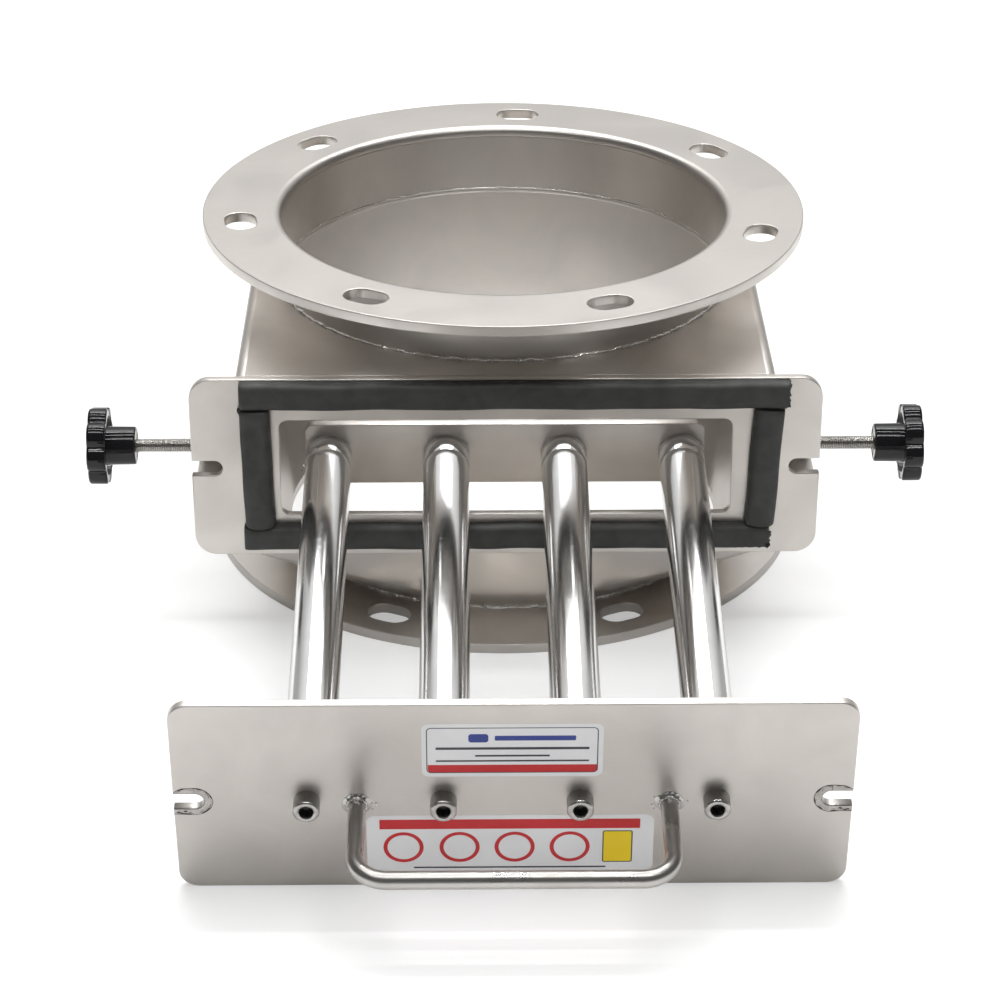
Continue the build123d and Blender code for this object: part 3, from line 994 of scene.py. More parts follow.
@dataclass
class Housing:
    """The welded steel housing between the two round flanges, sizes in millimetres."""

    bore: float = 130.0
    flange_radius: float = 175.5
    flange_thickness: float = 6.0
    flange_edge: float = 0.6
    top: float = 202.0
    collar_wall: float = 2.5
    box_top: float = 162.0
    box_half_width: float = 149.0
    box_back: float = 145.5
    box_front: float = -150.6
    box_bend: float = 4.0
    seam_z: float = 60.0
    skirt_z: float = 54.0
    sheet: float = 3.0
    slot_length: float = 26.0
    slot_width: float = 18.0
    slot_circle: float = 154.0
    slot_count: int = 7
    inlet_turn: float = 4.0
    inlet_edge: float = 4.0
    flat_angle: float = 5.0
    front_width: float = 348.0
    front_height: float = 108.0
    front_thickness: float = 5.0
    front_corner: float = 12.0
    front_edge: float = 0.5
    bolt_slot_width: float = 9.0
    bolt_slot_depth: float = 17.0
    opening: Triple = (250.0, 58.5, 5.0)

    def build(self) -> None:
        """Builds every part of the housing."""
        self.flange("bottom_flange", 0.0, 0.0, {})
        self.flange("top_flange", self.top - self.flange_thickness, self.inlet_turn, {0: self.inlet_edge})
        self.collar()
        self.transition()
        self.front_flange()
        self.beads()
        self.folded_cover()
        dress_node("rear_wall", Finish.SATIN)
        for side in ("left", "right"):
            for level in ("upper", "lower"):
                dress_node(f"{side}_{level}_lug", Finish.SATIN)
            dress_node(f"{side}_hinge_pin", Finish.SCREW)

    def flange(self, node: str, z: float, turn: float, hole_edges: dict[int, float]) -> None:
        """A ring with slots spaced evenly round it, the first one at the back.

        Args:
            node: The CAD node that it stands for.
            z: Height of its lower face.
            turn: How far the slots are turned, in degrees.
            hole_edges: Radius of the upper edge of a hole, by the hole's number; the bore is 0.
        """
        builder = MeshBuilder()
        radius, half = self.slot_width / 2, (self.slot_length - self.slot_width) / 2
        capsule = np.vstack([arc(radius, 0, 180, 14, 0, half), arc(radius, 180, 180, 14, 0, -half)])
        holes = [circle(self.bore, steps=256)]
        for number in range(self.slot_count):
            angle = 90 - turn + 360 / self.slot_count * number
            holes.append(turned(capsule, angle, self.slot_circle))
        rim = circle(self.flange_radius, steps=300)
        add_plate(builder, rim, holes, self.flange_thickness, self.flange_edge, hole_edges)
        piece = builder.build(f"{node}_ring", Placement((0.0, 0.0, z)), [Finish.SATIN])
        seat(piece, "housing", "satin_steel", node)

    def collar(self) -> None:
        """The rolled inlet collar, a plain tube turned about the z axis."""
        builder = MeshBuilder()
        outer = self.bore + self.collar_wall
        high = self.top - self.flange_thickness
        revolve(builder, np.array([(outer, self.box_top), (outer, high)]), 256)
        revolve(builder, np.array([(self.bore, high), (self.bore, self.box_top)]), 256)
        piece = builder.build("inlet_collar_tube", Placement(), [Finish.SATIN])
        seat(piece, "housing", "satin_steel", "inlet_collar")

    def square_and_circle(self, inset_by: float, foot: float) -> tuple[np.ndarray, np.ndarray]:
        """Matching points of the transition's square top and round foot.

        Each side of the square meets a short arc of flat_angle, and each corner meets the long arc
        between two of those.

        Args:
            inset_by: How far the square lies inside the box.
            foot: Radius of the round foot.

        Returns:
            The square's points and the circle's, one for one.
        """
        half = self.box_half_width - inset_by
        front = self.box_front + inset_by
        back = self.box_back - inset_by
        corner = max(self.box_bend - inset_by, 1.0)
        sides = (
            ((corner - half, front), (half - corner, front)),
            ((half, front + corner), (half, back - corner)),
            ((half - corner, back), (corner - half, back)),
            ((-half, back - corner), (-half, front + corner)),
        )
        centres = (
            (half - corner, front + corner),
            (half - corner, back - corner),
            (corner - half, back - corner),
            (corner - half, front + corner),
        )
        top: list[np.ndarray] = []
        bottom: list[np.ndarray] = []
        for quarter, ((start, end), centre) in enumerate(zip(sides, centres)):
            middle = 90 * quarter - 90
            share = np.linspace(0, 1, 9)[:-1, None]
            top.append(np.array(start) * (1 - share) + np.array(end) * share)
            bottom.append(arc(foot, middle - self.flat_angle / 2, self.flat_angle, 8)[:-1])
            top.append(arc(corner, middle, 90, 48, *centre)[:-1])
            bottom.append(arc(foot, middle + self.flat_angle / 2, 90 - self.flat_angle, 48)[:-1])
        return np.vstack(top), np.vstack(bottom)

    def transition(self) -> None:
        """The square-to-round outlet: straight lines from the square's points to the circle's."""
        builder = MeshBuilder()
        walls = []
        for inset_by, foot in ((0.0, self.bore + self.collar_wall), (self.sheet, self.bore)):
            top, bottom = self.square_and_circle(inset_by, foot)
            rows = [np.column_stack([top, np.full(len(top), self.seam_z)])]
            for share in np.linspace(0, 1, 12):
                level = self.skirt_z + (self.flange_thickness - self.skirt_z) * share
                rows.append(np.column_stack([top * (1 - share) + bottom * share, np.full(len(top), level)]))
            walls.append(np.stack(rows))
        builder.grid(walls[0], flip=True)
        builder.grid(walls[1])
        builder.grid(np.stack([walls[0][0], walls[1][0]]))
        builder.grid(np.stack([walls[1][-1], walls[0][-1]]))
        piece = builder.build("outlet_transition_cone", Placement(), [Finish.SATIN])
        seat(piece, "housing", "satin_steel", "outlet_transition")

    def front_flange(self) -> None:
        """The front flange with the drawer's opening and an open slot at each side."""
        builder = MeshBuilder()
        outline = notched_plate(
            self.front_width, self.front_height, self.front_corner, self.bolt_slot_width, self.bolt_slot_depth
        )
        add_plate(builder, outline, [rounded_rectangle(*self.opening)], self.front_thickness, self.front_edge)
        middle = self.box_top - self.front_height / 2
        place = Placement((0.0, self.box_front, middle), (1.0, 0.0, 0.0), (0.0, 0.0, 1.0), (0.0, -1.0, 0.0))
        piece = builder.build("front_flange_plate", place, [Finish.SATIN])
        seat(piece, "housing", "satin_steel", "front_flange")

    def folded_cover(self) -> None:
        """A merged copy of the cover's own mesh, smooth over its bends and sharp at its cut edges."""
        source = frame["nodes"]["housing_cover"]
        mesh = source.data.copy()
        mesh.materials.clear()
        mesh.materials.append(bpy.data.materials[Finish.SATIN.value])
        piece = place_object("housing_cover_sheet", mesh)
        weld = piece.modifiers.new("merge", "WELD")
        weld.merge_threshold = 1e-5
        bevel = piece.modifiers.new("edge", "BEVEL")
        bevel.width = 0.0003
        bevel.segments = 2
        bevel.angle_limit = math.radians(40)
        bevel.harden_normals = False
        seat(piece, "housing", "satin_steel", "housing_cover")

    def beads(self) -> None:
        """All weld beads of the housing, each along its seam."""
        outer, thick = self.bore + self.collar_wall, self.flange_thickness
        up = (0.0, 0.0, 1.0)
        rings = (
            ("collar_lower_weld", outer + 0.3, self.box_top + 0.3, Bead(1.4, wander=0.35, seed=3)),
            ("collar_upper_weld", outer + 0.3, self.top - thick - 0.3, Bead(0.9, seed=5)),
            ("collar_inner_weld", self.bore - 0.1, self.box_top, Bead(0.5, seed=7)),
            ("outlet_lower_weld", outer + 0.6, thick + 0.3, Bead(1.6, wander=0.5, seed=9)),
        )
        for name, radius, z, bead in rings:
            builder = MeshBuilder()
            bead.add_to(builder, ring_path(radius, z), up, closed=True)
            seat(builder.build(name, Placement(), [Finish.WELD]), "housing", "satin_steel")
        half, back, front, seam = self.box_half_width, self.box_back, self.box_front, self.seam_z
        corner, rear_top, front_top = half - 0.2, self.box_top - 5.0, self.box_top - 6.0
        sheet_top, sheet_end = self.box_top - 0.2, half - 6.0
        sideways = (1.0, 0.0, 0.0)
        lines = (
            ("rear_seam_left", (-corner, back, seam), (-corner, back, rear_top), sideways, 0.7),
            ("rear_seam_right", (corner, back, seam), (corner, back, rear_top), sideways, 0.7),
            ("rear_seam_top", (-sheet_end, back, sheet_top), (sheet_end, back, sheet_top), up, 0.7),
            ("side_seam_left", (-half, front, seam), (-half, back, seam), up, 0.8),
            ("side_seam_right", (half, front, seam), (half, back, seam), up, 0.8),
            ("rear_seam_lower", (-half, back, seam), (half, back, seam), up, 0.8),
            ("flange_seam_left", (-half, front, seam), (-half, front, front_top), sideways, 1.2),
            ("flange_seam_right", (half, front, seam), (half, front, front_top), sideways, 1.2),
        )
        for number, (name, start, end, reference, radius) in enumerate(lines):
            builder = MeshBuilder()
            Bead(radius, seed=20 + number).add_to(builder, straight(start, end), reference)
            seat(builder.build(name, Placement(), [Finish.WELD]), "housing", "satin_steel")


@dataclass
class SealingStrip:
    """One soft rubber strip on the front flange: a domed section carried along its length.

    Args:
        node: The CAD node that it stands for.
        start: Its first end as x and z, in millimetres.
        end: Its last end as x and z.
        width: Width of the strip.
        height: Height of its crown over the flange.
        torn_end: How ragged its last end is, in millimetres.
        seed: Which strip it is.
        dent: Distance of a small dent along the strip, or nothing.
        crease: Distance of a short curved crease along the strip, or nothing.
        bulge: How far the middle of its last end bulges out, in millimetres.
        nub: How far its first left corner sticks out, in millimetres.
        face_y: Where the flange's face lies.
        film: Thickness of the glue between flange and strip.
        clearance: How far the crown stays below the height.
    """

    node: str
    start: tuple[float, float]
    end: tuple[float, float]
    width: float = 16.8
    height: float = 8.0
    torn_end: float = 0.0
    seed: int = 1
    dent: float | None = None
    crease: float | None = None
    bulge: float = 0.0
    nub: float = 0.0
    face_y: float = -155.6
    film: float = 0.02
    clearance: float = 0.03

    def build(self) -> None:
        """Builds the strip.

        The section is a flat foot and a nearly flat face: its half width goes with a power of the
        cosine and its height with a power of the sine. It wanders a little along the strip and closes
        in softly at both ends. A torn end is cut back by a wandering amount, and a bulging one goes
        out by one less the square of the way across. No point stands higher than the strip's CAD
        solid, so the closed drawer stays clear of it.
        """
        first, last = np.array(self.start, float), np.array(self.end, float)
        length = float(np.linalg.norm(last - first))
        direction = (last - first) / length
        along = np.concatenate(
            [
                np.linspace(0, 3, 12),
                np.linspace(3, length - 3, 150)[1:-1],
                np.linspace(length - 3, length, 14),
            ]
        )
        angle = np.linspace(0, 2 * np.pi, 88, endpoint=False)
        across = self.width / 2 * np.sign(np.cos(angle)) * np.abs(np.cos(angle)) ** 0.6
        crown = self.height * np.where(np.sin(angle) > 0, np.abs(np.sin(angle)) ** 0.42, 0.0)
        s, a = np.meshgrid(along, across, indexing="ij")
        h = np.broadcast_to(crown, s.shape).copy()
        near_end = np.minimum(s, length - s)
        soft = 1 - 0.16 * np.exp(-near_end / 0.7)
        a = a * (1 - 0.03 * np.exp(-near_end / 0.7)) + 0.22 * smooth_noise(s, self.seed, 60.0)
        uneven = 1 + 0.02 * smooth_noise(s, self.seed + 1, 35.0) + 0.01 * smooth_noise(a, self.seed + 2, 9.0)
        h = h * soft * uneven
        if self.dent is not None:
            h = h - 1.3 * np.exp(-((s - self.dent) ** 2 + (a - 0.5) ** 2) / 3.2) * (h > 1)
        if self.crease is not None:
            curve = s - self.crease - 0.12 * (a - 2.0) ** 2
            h = h - 1.0 * np.exp(-((curve / 0.8) ** 2) - ((a - 1.0) / 3.5) ** 2) * (h > 1)
        if self.bulge:
            round_end = 1 - (2 * a / self.width) ** 2
            s = s + self.bulge * round_end * np.exp(-(length - s) / 3.0)
            h = h * (1 + 0.04 * np.exp(-np.abs(length - s) / 5.0))
        h = np.minimum(h, self.height - self.clearance)
        a = a - self.nub * np.exp(-((s / 1.5) ** 2)) * np.clip(-2 * a / self.width, 0, 1) ** 4
        if self.torn_end:
            back = np.abs(smooth_noise(a, self.seed + 3, 7.0))
            back = back + 0.5 * np.abs(smooth_noise(h, self.seed + 4, 3.0))
            s = s - self.torn_end * back * np.exp(-(length - s) / 2.5)
            a = a + 0.6 * smooth_noise(s * 1.7, self.seed + 5, 4.0) * np.exp(-(length - s) / 9.0)
        side = np.array([-direction[1], direction[0]])
        x = first[0] + direction[0] * s + side[0] * a
        z = first[1] + direction[1] * s + side[1] * a
        points = np.stack([x, self.face_y - self.film - h, z], axis=-1)
        middle_first = points[:1].mean(axis=1, keepdims=True).repeat(points.shape[1], axis=1)
        middle_last = points[-1:].mean(axis=1, keepdims=True).repeat(points.shape[1], axis=1)
        builder = MeshBuilder()
        builder.grid(np.concatenate([middle_first, points, middle_last]))
        piece = builder.build(f"{self.node}_foam", Placement(), [Finish.RUBBER])
        seat(piece, "housing", "black_rubber", self.node)


@dataclass
class SwingClamp:
    """A swing bolt with its star knob, sizes in millimetres.

    Args:
        side: The side's name.
        sign: -1 for the left side and 1 for the right one.
    """

    side: str
    sign: float
    pivot_x: float = 161.5
    pivot_y: float = -126.3
    pivot_z: float = 108.0
    eye_radius: float = 10.0
    eye_half: float = 4.5
    pin_radius: float = 4.05
    rod_radius: float = 4.0
    rod_length: float = 60.0
    thread_start: float = 14.0
    pitch: float = 1.25
    thread_depth: float = 0.78
    # How deep in a groove the thread's painted root shade begins, as a share of the groove.
    root_shade_threshold: float = 0.80
    reach: float = 46.0
    hub_radius: float = 10.7
    hub_length: float = 15.4
    head_radius: float = 22.3
    head_thickness: float = 10.5
    dome_height: float = 1.8
    lobes: int = 8
    lobe_radius: float = 8.2
    lobe_blend: float = 0.9
    lobe_rounding: float = 1.6
    web_radius: float = 17.5
    recess_radius: float = 16.6
    recess_depth: float = 6.5
    insert_radius: float = 6.5

    def place(self) -> Placement:
        """Local z along the rod from the pivot, x along the frame's Y.

        Returns:
            The rod's and the knob's placement.
        """
        return Placement(
            (self.sign * self.pivot_x, self.pivot_y, self.pivot_z),
            (0.0, 1.0, 0.0),
            (0.0, 0.0, self.sign),
            (self.sign, 0.0, 0.0),
        )

    def build(self) -> None:
        """Builds the bolt and the knob, and dresses the insert."""
        self.bolt()
        self.knob()
        dress_node(f"{self.side}_knob_insert", Finish.TURNED)

    def bolt(self) -> None:
        """The eye, turned about the pin, and the rod with its thread.

        The thread's radius is the rod's less a depth times a triangle wave of the length in turns
        minus the angle in turns, so its crest climbs one pitch in each turn. Faces deep in a groove
        take a darker finish: painted shade in the thread's roots.
        """
        eye = MeshBuilder()
        r, h, e = self.eye_radius, self.eye_half, 0.6
        turn = np.linspace(0, np.pi / 2, 5)
        low = np.stack([r - e + e * np.sin(turn), -h + e - e * np.cos(turn)], axis=1)
        high = np.stack([r - e + e * np.cos(turn), h - e + e * np.sin(turn)], axis=1)
        foot, top = [(self.pin_radius, -h)], [(self.pin_radius, h)]
        revolve(eye, np.vstack([foot, low, high, top, foot]), 64)
        upright = Placement((self.sign * self.pivot_x, self.pivot_y, self.pivot_z))
        piece = eye.build(f"{self.side}_bolt_eye", upright, [Finish.SCREW])
        seat(piece, f"{self.side}_bolt", "screw_steel")
        rod = MeshBuilder()
        length = np.concatenate(
            [
                np.linspace(self.pin_radius + 1.5, self.thread_start, 8)[:-1],
                np.arange(self.thread_start, self.rod_length, self.pitch / 8),
                [self.rod_length],
            ]
        )
        angle = np.linspace(0, 2 * np.pi, 40, endpoint=False)
        s, a = np.meshgrid(length, angle, indexing="ij")
        phase = (s / self.pitch - self.sign * a / (2 * np.pi)) % 1.0
        groove = 1 - np.abs(2 * phase - 1)
        cut = np.clip((s - self.thread_start) / 1.0, 0, 1) * self.thread_depth
        points = around_axis(self.rod_radius - cut * groove, a, s)
        cap = np.broadcast_to(np.array([0.0, 0.0, self.rod_length]), points[:1].shape)
        rod.grid(np.concatenate([points, cap]))
        # Faces deep in a groove take the darker finish, painted shade in the thread's roots.
        dark = groove * (s > self.thread_start + 1.0) > self.root_shade_threshold
        rod.slots = dark.astype(int).ravel().tolist()
        piece = rod.build(f"{self.side}_bolt_rod", self.place(), [Finish.SCREW, Finish.SIDE_AND_ROOT_SHADE])
        seat(piece, f"{self.side}_bolt", "screw_steel", f"{self.side}_swing_bolt")

    def star(self, angle: np.ndarray) -> np.ndarray:
        """The head's outline: the larger of its two nearest round lobes, blended softly between them.

        A lobe is a circle of lobe_radius whose centre lies off the axis; its far side is the centre's
        distance times the cosine, plus the root of the lobe's radius squared less the sine part squared.

        Args:
            angle: Angles round the knob in radians.

        Returns:
            The outline's distance from the axis at each angle.
        """
        step = 2 * np.pi / self.lobes
        local = np.abs((angle + step / 2) % step - step / 2)
        centre = self.head_radius - self.lobe_radius

        def lobe(turn: np.ndarray) -> np.ndarray:
            """Distance from the axis to the far side of a lobe at a turn from its middle."""
            root = np.sqrt(np.maximum(self.lobe_radius**2 - (centre * np.sin(turn)) ** 2, 0.0))
            return centre * np.cos(turn) + root

        near, far = lobe(local), lobe(step - local)
        return 0.5 * (near + far + np.sqrt((near - far) ** 2 + self.lobe_blend**2))

    def knob(self) -> None:
        """The star knob as one surface from the insert's hole round the hub and head to the end.

        Every profile point is a share of the star's outline, a fixed radius and a distance along
        the rod; the outline's part is carried round with the star's radius.
        """
        face = self.reach
        head = self.reach + self.hub_length
        end = head + self.head_thickness
        floor = head + self.recess_depth
        rim = np.linspace(0, np.pi / 2, 7)
        hub, recess, rounding = self.hub_radius, self.recess_radius, self.lobe_rounding
        profile = [
            (0, self.rod_radius + 0.4, face + 0.9),
            (0, self.insert_radius - 0.2, face + 0.9),
            (0, self.insert_radius, face),
            (0, hub - 0.8, face),
            (0, hub - 0.2, face + 0.3),
            (0, hub, face + 0.9),
            (0, hub + 0.25, floor - 0.6),
            (0, hub + 0.9, floor),
            (0, recess - 0.7, floor),
            (0, recess, floor - 0.7),
            (0, recess + 0.1, head + 0.5),
            (0, recess + 0.5, head),
            (1, -0.5, head),
            (1, 0.0, head + 0.5),
            *((1, rounding * (math.cos(t) - 1), end - rounding + rounding * math.sin(t)) for t in rim),
        ]
        profile += [
            (0, r, end + self.dome_height * (1 + math.cos(math.pi * r / self.web_radius)) / 2)
            for r in (17.2, 15.0, 12.5, 10.0, 7.5, 5.0, 2.5, 0.01)
        ]
        share, fixed, along = np.array(profile, float).T[:, :, None]
        angle = np.linspace(0, 2 * np.pi, 192, endpoint=False)
        points = around_axis(share * self.star(angle) + fixed, angle, along)
        builder = MeshBuilder()
        builder.grid(points)
        piece = builder.build(f"{self.side}_star_knob_moulding", self.place(), [Finish.PLASTIC])
        seat(piece, f"{self.side}_knob", "black_plastic", f"{self.side}_star_knob")


@dataclass(frozen=True)
class SocketHead:
    """A socket screw's head, sizes in millimetres.

    Args:
        radius: Radius of the head.
        height: Height of the head.
        socket: Half the bore's width across flats.
        depth: Depth of the bore.
        rib: Height of the side's fine ribs.
    """

    radius: float
    height: float
    socket: float
    depth: float
    rib: float = 0.09

    def add_to(self, builder: MeshBuilder, x: float) -> None:
        """Adds the head: a finely ribbed side painted darker as shade, a chamfered ring, and a six-sided
        bore painted near-black as the shade inside it.

        The bore's radius is half its width across flats over the cosine of the angle to the nearest
        flat's middle. A profile row is a share of that, a fixed radius, a height and the ribs' share.

        Args:
            builder: Where the head goes.
            x: Its place along the row.
        """
        angle = np.linspace(0, 2 * np.pi, 144, endpoint=False)
        sixth = np.pi / 3
        local = (angle + sixth / 2) % sixth - sixth / 2
        hexagon = self.socket / np.cos(local)
        ribs = self.rib * np.abs(np.sin(24 * angle))
        radius, top = self.radius, self.height
        edge = 0.13 * radius
        mouth = self.socket * 1.22
        shoulder, floor = top - edge, top - self.depth
        ring = [
            (0, radius, shoulder - 0.4, 0),
            (0, radius, shoulder, 0),
            (0, radius - edge, top, 0),
            (0, mouth + 0.5, top, 0),
            (0, mouth, top - 0.5, 0),
        ]
        bore = [
            (0, mouth, top - 0.5, 0),
            (1, 0.02, top - 1.1, 0),
            (1, 0.0, floor, 0),
            (0.6, 0.0, floor - 0.4, 0),
            (0.0, 0.01, floor - 1.2, 0),
        ]
        side = [
            (0, radius, 0.0, 1),
            (0, radius, 0.3, 1),
            (0, radius, shoulder - 0.5, 1),
            (0, radius, shoulder - 0.4, 0),
        ]
        # Slot 0 is the ring, slot 1 the bore painted near-black as shade, slot 2 the side painted darker as
        # shade.
        for slot, rows in enumerate((ring, bore, side)):
            share, fixed, z, ribbed = np.array(rows, float).T[:, :, None]
            reach = share * hexagon + fixed - ribbed * ribs
            builder.grid(around_axis(reach, angle, z, x), slot=slot)


@dataclass
class MagnetDrawer:
    """The drawer: plate, handle, four magnet bars, tail plate and screws, sizes in millimetres."""

    plate: Triple = (331.0, 115.6, 10.0)
    plate_right: float = 0.8
    plate_up: float = 2.1
    plate_thickness: float = 5.0
    slot_width: float = 9.3
    slot_depth: float = 15.0
    hole_radius: float = 4.5
    bar_spacing: float = 66.5
    bar_radius: float = 13.0
    bar_length: float = 290.8
    tail_plug: float = 14.0
    handle_half: float = 76.1
    handle_reach: float = 54.6
    handle_right: float = 0.7
    handle_down: float = 2.0
    handle_radius: float = 4.5
    handle_bend: float = 16.0
    handle_leg: float = 6.0
    cap_screw: SocketHead = SocketHead(6.5, 9.0, 3.0, 5.0)
    tail_screw: SocketHead = SocketHead(5.0, 6.0, 2.5, 3.0)
    tail_hole_radius: float = 3.3
    tail: Triple = (225.5, 40.0, 5.0)
    tail_thickness: float = 5.0
    sheet_edge: float = 0.5
    seat_inner: float = 4.8
    seat_outer: float = 8.9
    seat_arm_steps: int = 30
    seat_turn_steps: int = 61
    bars: tuple[float, ...] = (-1.5, -0.5, 0.5, 1.5)

    def __post_init__(self) -> None:
        """Finds the plate's front face at the row of bars from the tail plate's place and the lean."""
        lean = drawer_lean()
        low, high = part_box("tail_plate")
        middle = np.array((low + high) / 2) / MM
        out = np.array([0.0, -math.cos(lean), -math.sin(lean)])
        reach = self.plate_thickness + self.bar_length + self.tail_thickness / 2
        self.face = Placement(
            tuple(middle + out * reach), (1.0, 0.0, 0.0), (0.0, -math.sin(lean), math.cos(lean)), tuple(out)
        )

    def build(self) -> None:
        """Builds every part of the drawer."""
        self.front_plate()
        self.handle()
        self.magnet_bars()
        self.tail_end()
        self.screws()
        self.seat_marks()
        self.labels()
        for number in range(1, len(self.bars) + 1):
            for part in ("front_plug", "magnets", "poles"):
                dress_node(f"bar_{number}_{part}", Finish.TURNED)

    def front_plate(self) -> None:
        """The drawer plate with open side slots and the bars' screw holes."""
        builder = MeshBuilder()
        outline = notched_plate(*self.plate, self.slot_width, self.slot_depth, -self.plate_up)
        outline = outline + np.array([self.plate_right, self.plate_up])
        holes = [circle(self.hole_radius, u * self.bar_spacing, 0, 32) for u in self.bars]
        add_plate(builder, outline, holes, self.plate_thickness, self.sheet_edge)
        back = self.face.moved(z=-self.plate_thickness)
        piece = builder.build("drawer_plate_sheet", back, [Finish.SATIN])
        seat(piece, "drawer", "satin_steel", "drawer_plate")

    def handle(self) -> None:
        """The handle: straight legs, two quarter bends and a straight grip."""
        half, reach, bend = self.handle_half, self.handle_reach, self.handle_bend
        left_bend = arc(bend, 180, -90, 24, bend - half, reach - bend)
        left = np.vstack([[(-half, 0.0), (-half, self.handle_leg)], left_bend])
        flat = np.vstack([left, left[::-1] * (-1, 1)])
        path = np.column_stack([flat[:, 0], np.zeros(len(flat)), flat[:, 1]])
        builder = MeshBuilder()
        add_tube(builder, path, np.full(len(path), self.handle_radius), (0.0, 1.0, 0.0), sides=48)
        place = self.face.moved(x=self.handle_right, y=-self.handle_down)
        piece = builder.build("drawer_handle_bar", place, [Finish.BRIGHT])
        seat(piece, "drawer", "handle_steel", "drawer_handle")
        welds = MeshBuilder()
        for number, x in enumerate((-half, half)):
            self.weld_collar(welds, x, 60 + number)
        seat(welds.build("handle_welds", place, [Finish.WELD]), "drawer", "satin_steel")

    def weld_collar(self, builder: MeshBuilder, x: float, seed: int) -> None:
        """The flat irregular collar where a leg of the handle is welded on, with a few drops beside it.

        The collar's height falls from the leg outwards as the square of the rest of the way, its outer
        radius wanders and is wider to the left and right, and a ripple runs round it.

        Args:
            builder: Where the collar goes.
            x: The leg's place along the handle.
            seed: Which collar it is.
        """
        count = 120
        angle = np.linspace(0, 2 * np.pi, count, endpoint=False)
        wander = smooth_noise(np.cos(angle) * 6 + np.sin(angle) * 4, seed, 7.0)
        outer = 6.5 + 0.8 * np.cos(angle) ** 2 + 0.35 * wander
        share = np.array([0.0, 0.08, 0.18, 0.3, 0.45, 0.6, 0.75, 0.88, 0.96, 1.0])[:, None]
        inner = self.handle_radius - 0.15
        radius = inner + (outer - inner) * share
        ripple = 0.10 * np.sin(13 * angle + 3 * share + seed) * np.sin(np.pi * share)
        height = 1.9 * (1 - share) ** 2 + 0.32 * np.sqrt(np.maximum(1 - share**4, 0.0)) + ripple + 0.02
        builder.grid(around_axis(radius, angle, height, x))
        lip = np.column_stack([circle(self.handle_radius + 0.25, x, 0, count), np.full(count, 1.75)])
        Bead(0.7, 2.6, 0.10, seed).add_to(builder, lip, (0.0, 0.0, 1.0), closed=True)
        draws = np.random.default_rng(seed)
        for _ in range(5):
            away = draws.uniform(7.6, 9.6)
            turn = draws.choice((0.0, math.pi)) + draws.uniform(-0.5, 0.5)
            size = draws.uniform(0.25, 0.55)
            rise = np.linspace(0, np.pi / 2, 4)[:, None]
            round_it = angle[::10]
            drop = np.stack(
                np.broadcast_arrays(
                    x + away * math.cos(turn) + size * 1.4 * (np.cos(rise) * np.cos(round_it)),
                    away * math.sin(turn) + size * (np.cos(rise) * np.sin(round_it)),
                    0.02 + 0.6 * size * np.sin(rise),
                ),
                axis=-1,
            )
            builder.grid(drop)

    def magnet_bars(self) -> None:
        """The polished tubes and tail plugs, turned about each bar's axis, with a shallow seam."""
        r = self.bar_radius
        tube_end = self.bar_length - self.tail_plug
        for number, u in enumerate(self.bars, start=1):
            base = self.face.moved(x=u * self.bar_spacing, z=-self.plate_thickness)
            axis = base.turned_over()
            tube = MeshBuilder()
            along = np.linspace(0.3, tube_end - 0.35, 60)
            profile = [(r - 1.5, 0.0), (r - 0.3, 0.0), *((r, z) for z in along)]
            profile += [(r - 0.12, tube_end - 0.1), (r - 0.3, tube_end)]
            revolve(tube, np.array(profile), 128)
            piece = tube.build(f"bar_{number}_polished_tube", axis, [Finish.POLISHED])
            seat(piece, "drawer", "polished_steel", f"bar_{number}_tube")
            plug = MeshBuilder()
            profile = [(r - 0.3, tube_end + 0.02), (r - 0.1, tube_end + 0.12), (r, tube_end + 0.4)]
            profile += [(r, self.bar_length - 0.2), (r - 0.2, self.bar_length), (0.01, self.bar_length)]
            revolve(plug, np.array(profile), 128)
            piece = plug.build(f"bar_{number}_polished_end", axis, [Finish.POLISHED])
            seat(piece, "drawer", "polished_steel", f"bar_{number}_tail_plug")

    def tail_end(self) -> None:
        """The tail plate, which stands across the bars' ends."""
        builder = MeshBuilder()
        holes = [circle(self.tail_hole_radius, u * self.bar_spacing, 0, 32) for u in self.bars]
        add_plate(builder, rounded_rectangle(*self.tail), holes, self.tail_thickness, self.sheet_edge)
        piece = builder.build("tail_plate_sheet", self.far_end(), [Finish.SATIN])
        seat(piece, "drawer", "satin_steel", "tail_plate")

    def far_end(self) -> Placement:
        """The face turned to the back of the tail plate."""
        return self.face.moved(z=-self.plate_thickness - self.bar_length - self.tail_thickness)

    def screws(self) -> None:
        """The cap screws on the plate and the smaller ones behind the tail plate."""
        front = MeshBuilder()
        tail = MeshBuilder()
        for u in self.bars:
            self.cap_screw.add_to(front, u * self.bar_spacing)
            self.tail_screw.add_to(tail, u * self.bar_spacing)
        # The second finish paints shade in the bores, the third paints shade on the ribbed sides.
        finishes = [Finish.SCREW, Finish.BORE_SHADE_AND_MARKS, Finish.SIDE_AND_ROOT_SHADE]
        seat(front.build("cap_screw_heads", self.face, finishes), "drawer", "screw_steel", "cap_screws")
        behind = self.far_end().turned_over()
        seat(tail.build("tail_screw_heads", behind, finishes), "drawer", "screw_steel", "tail_screws")

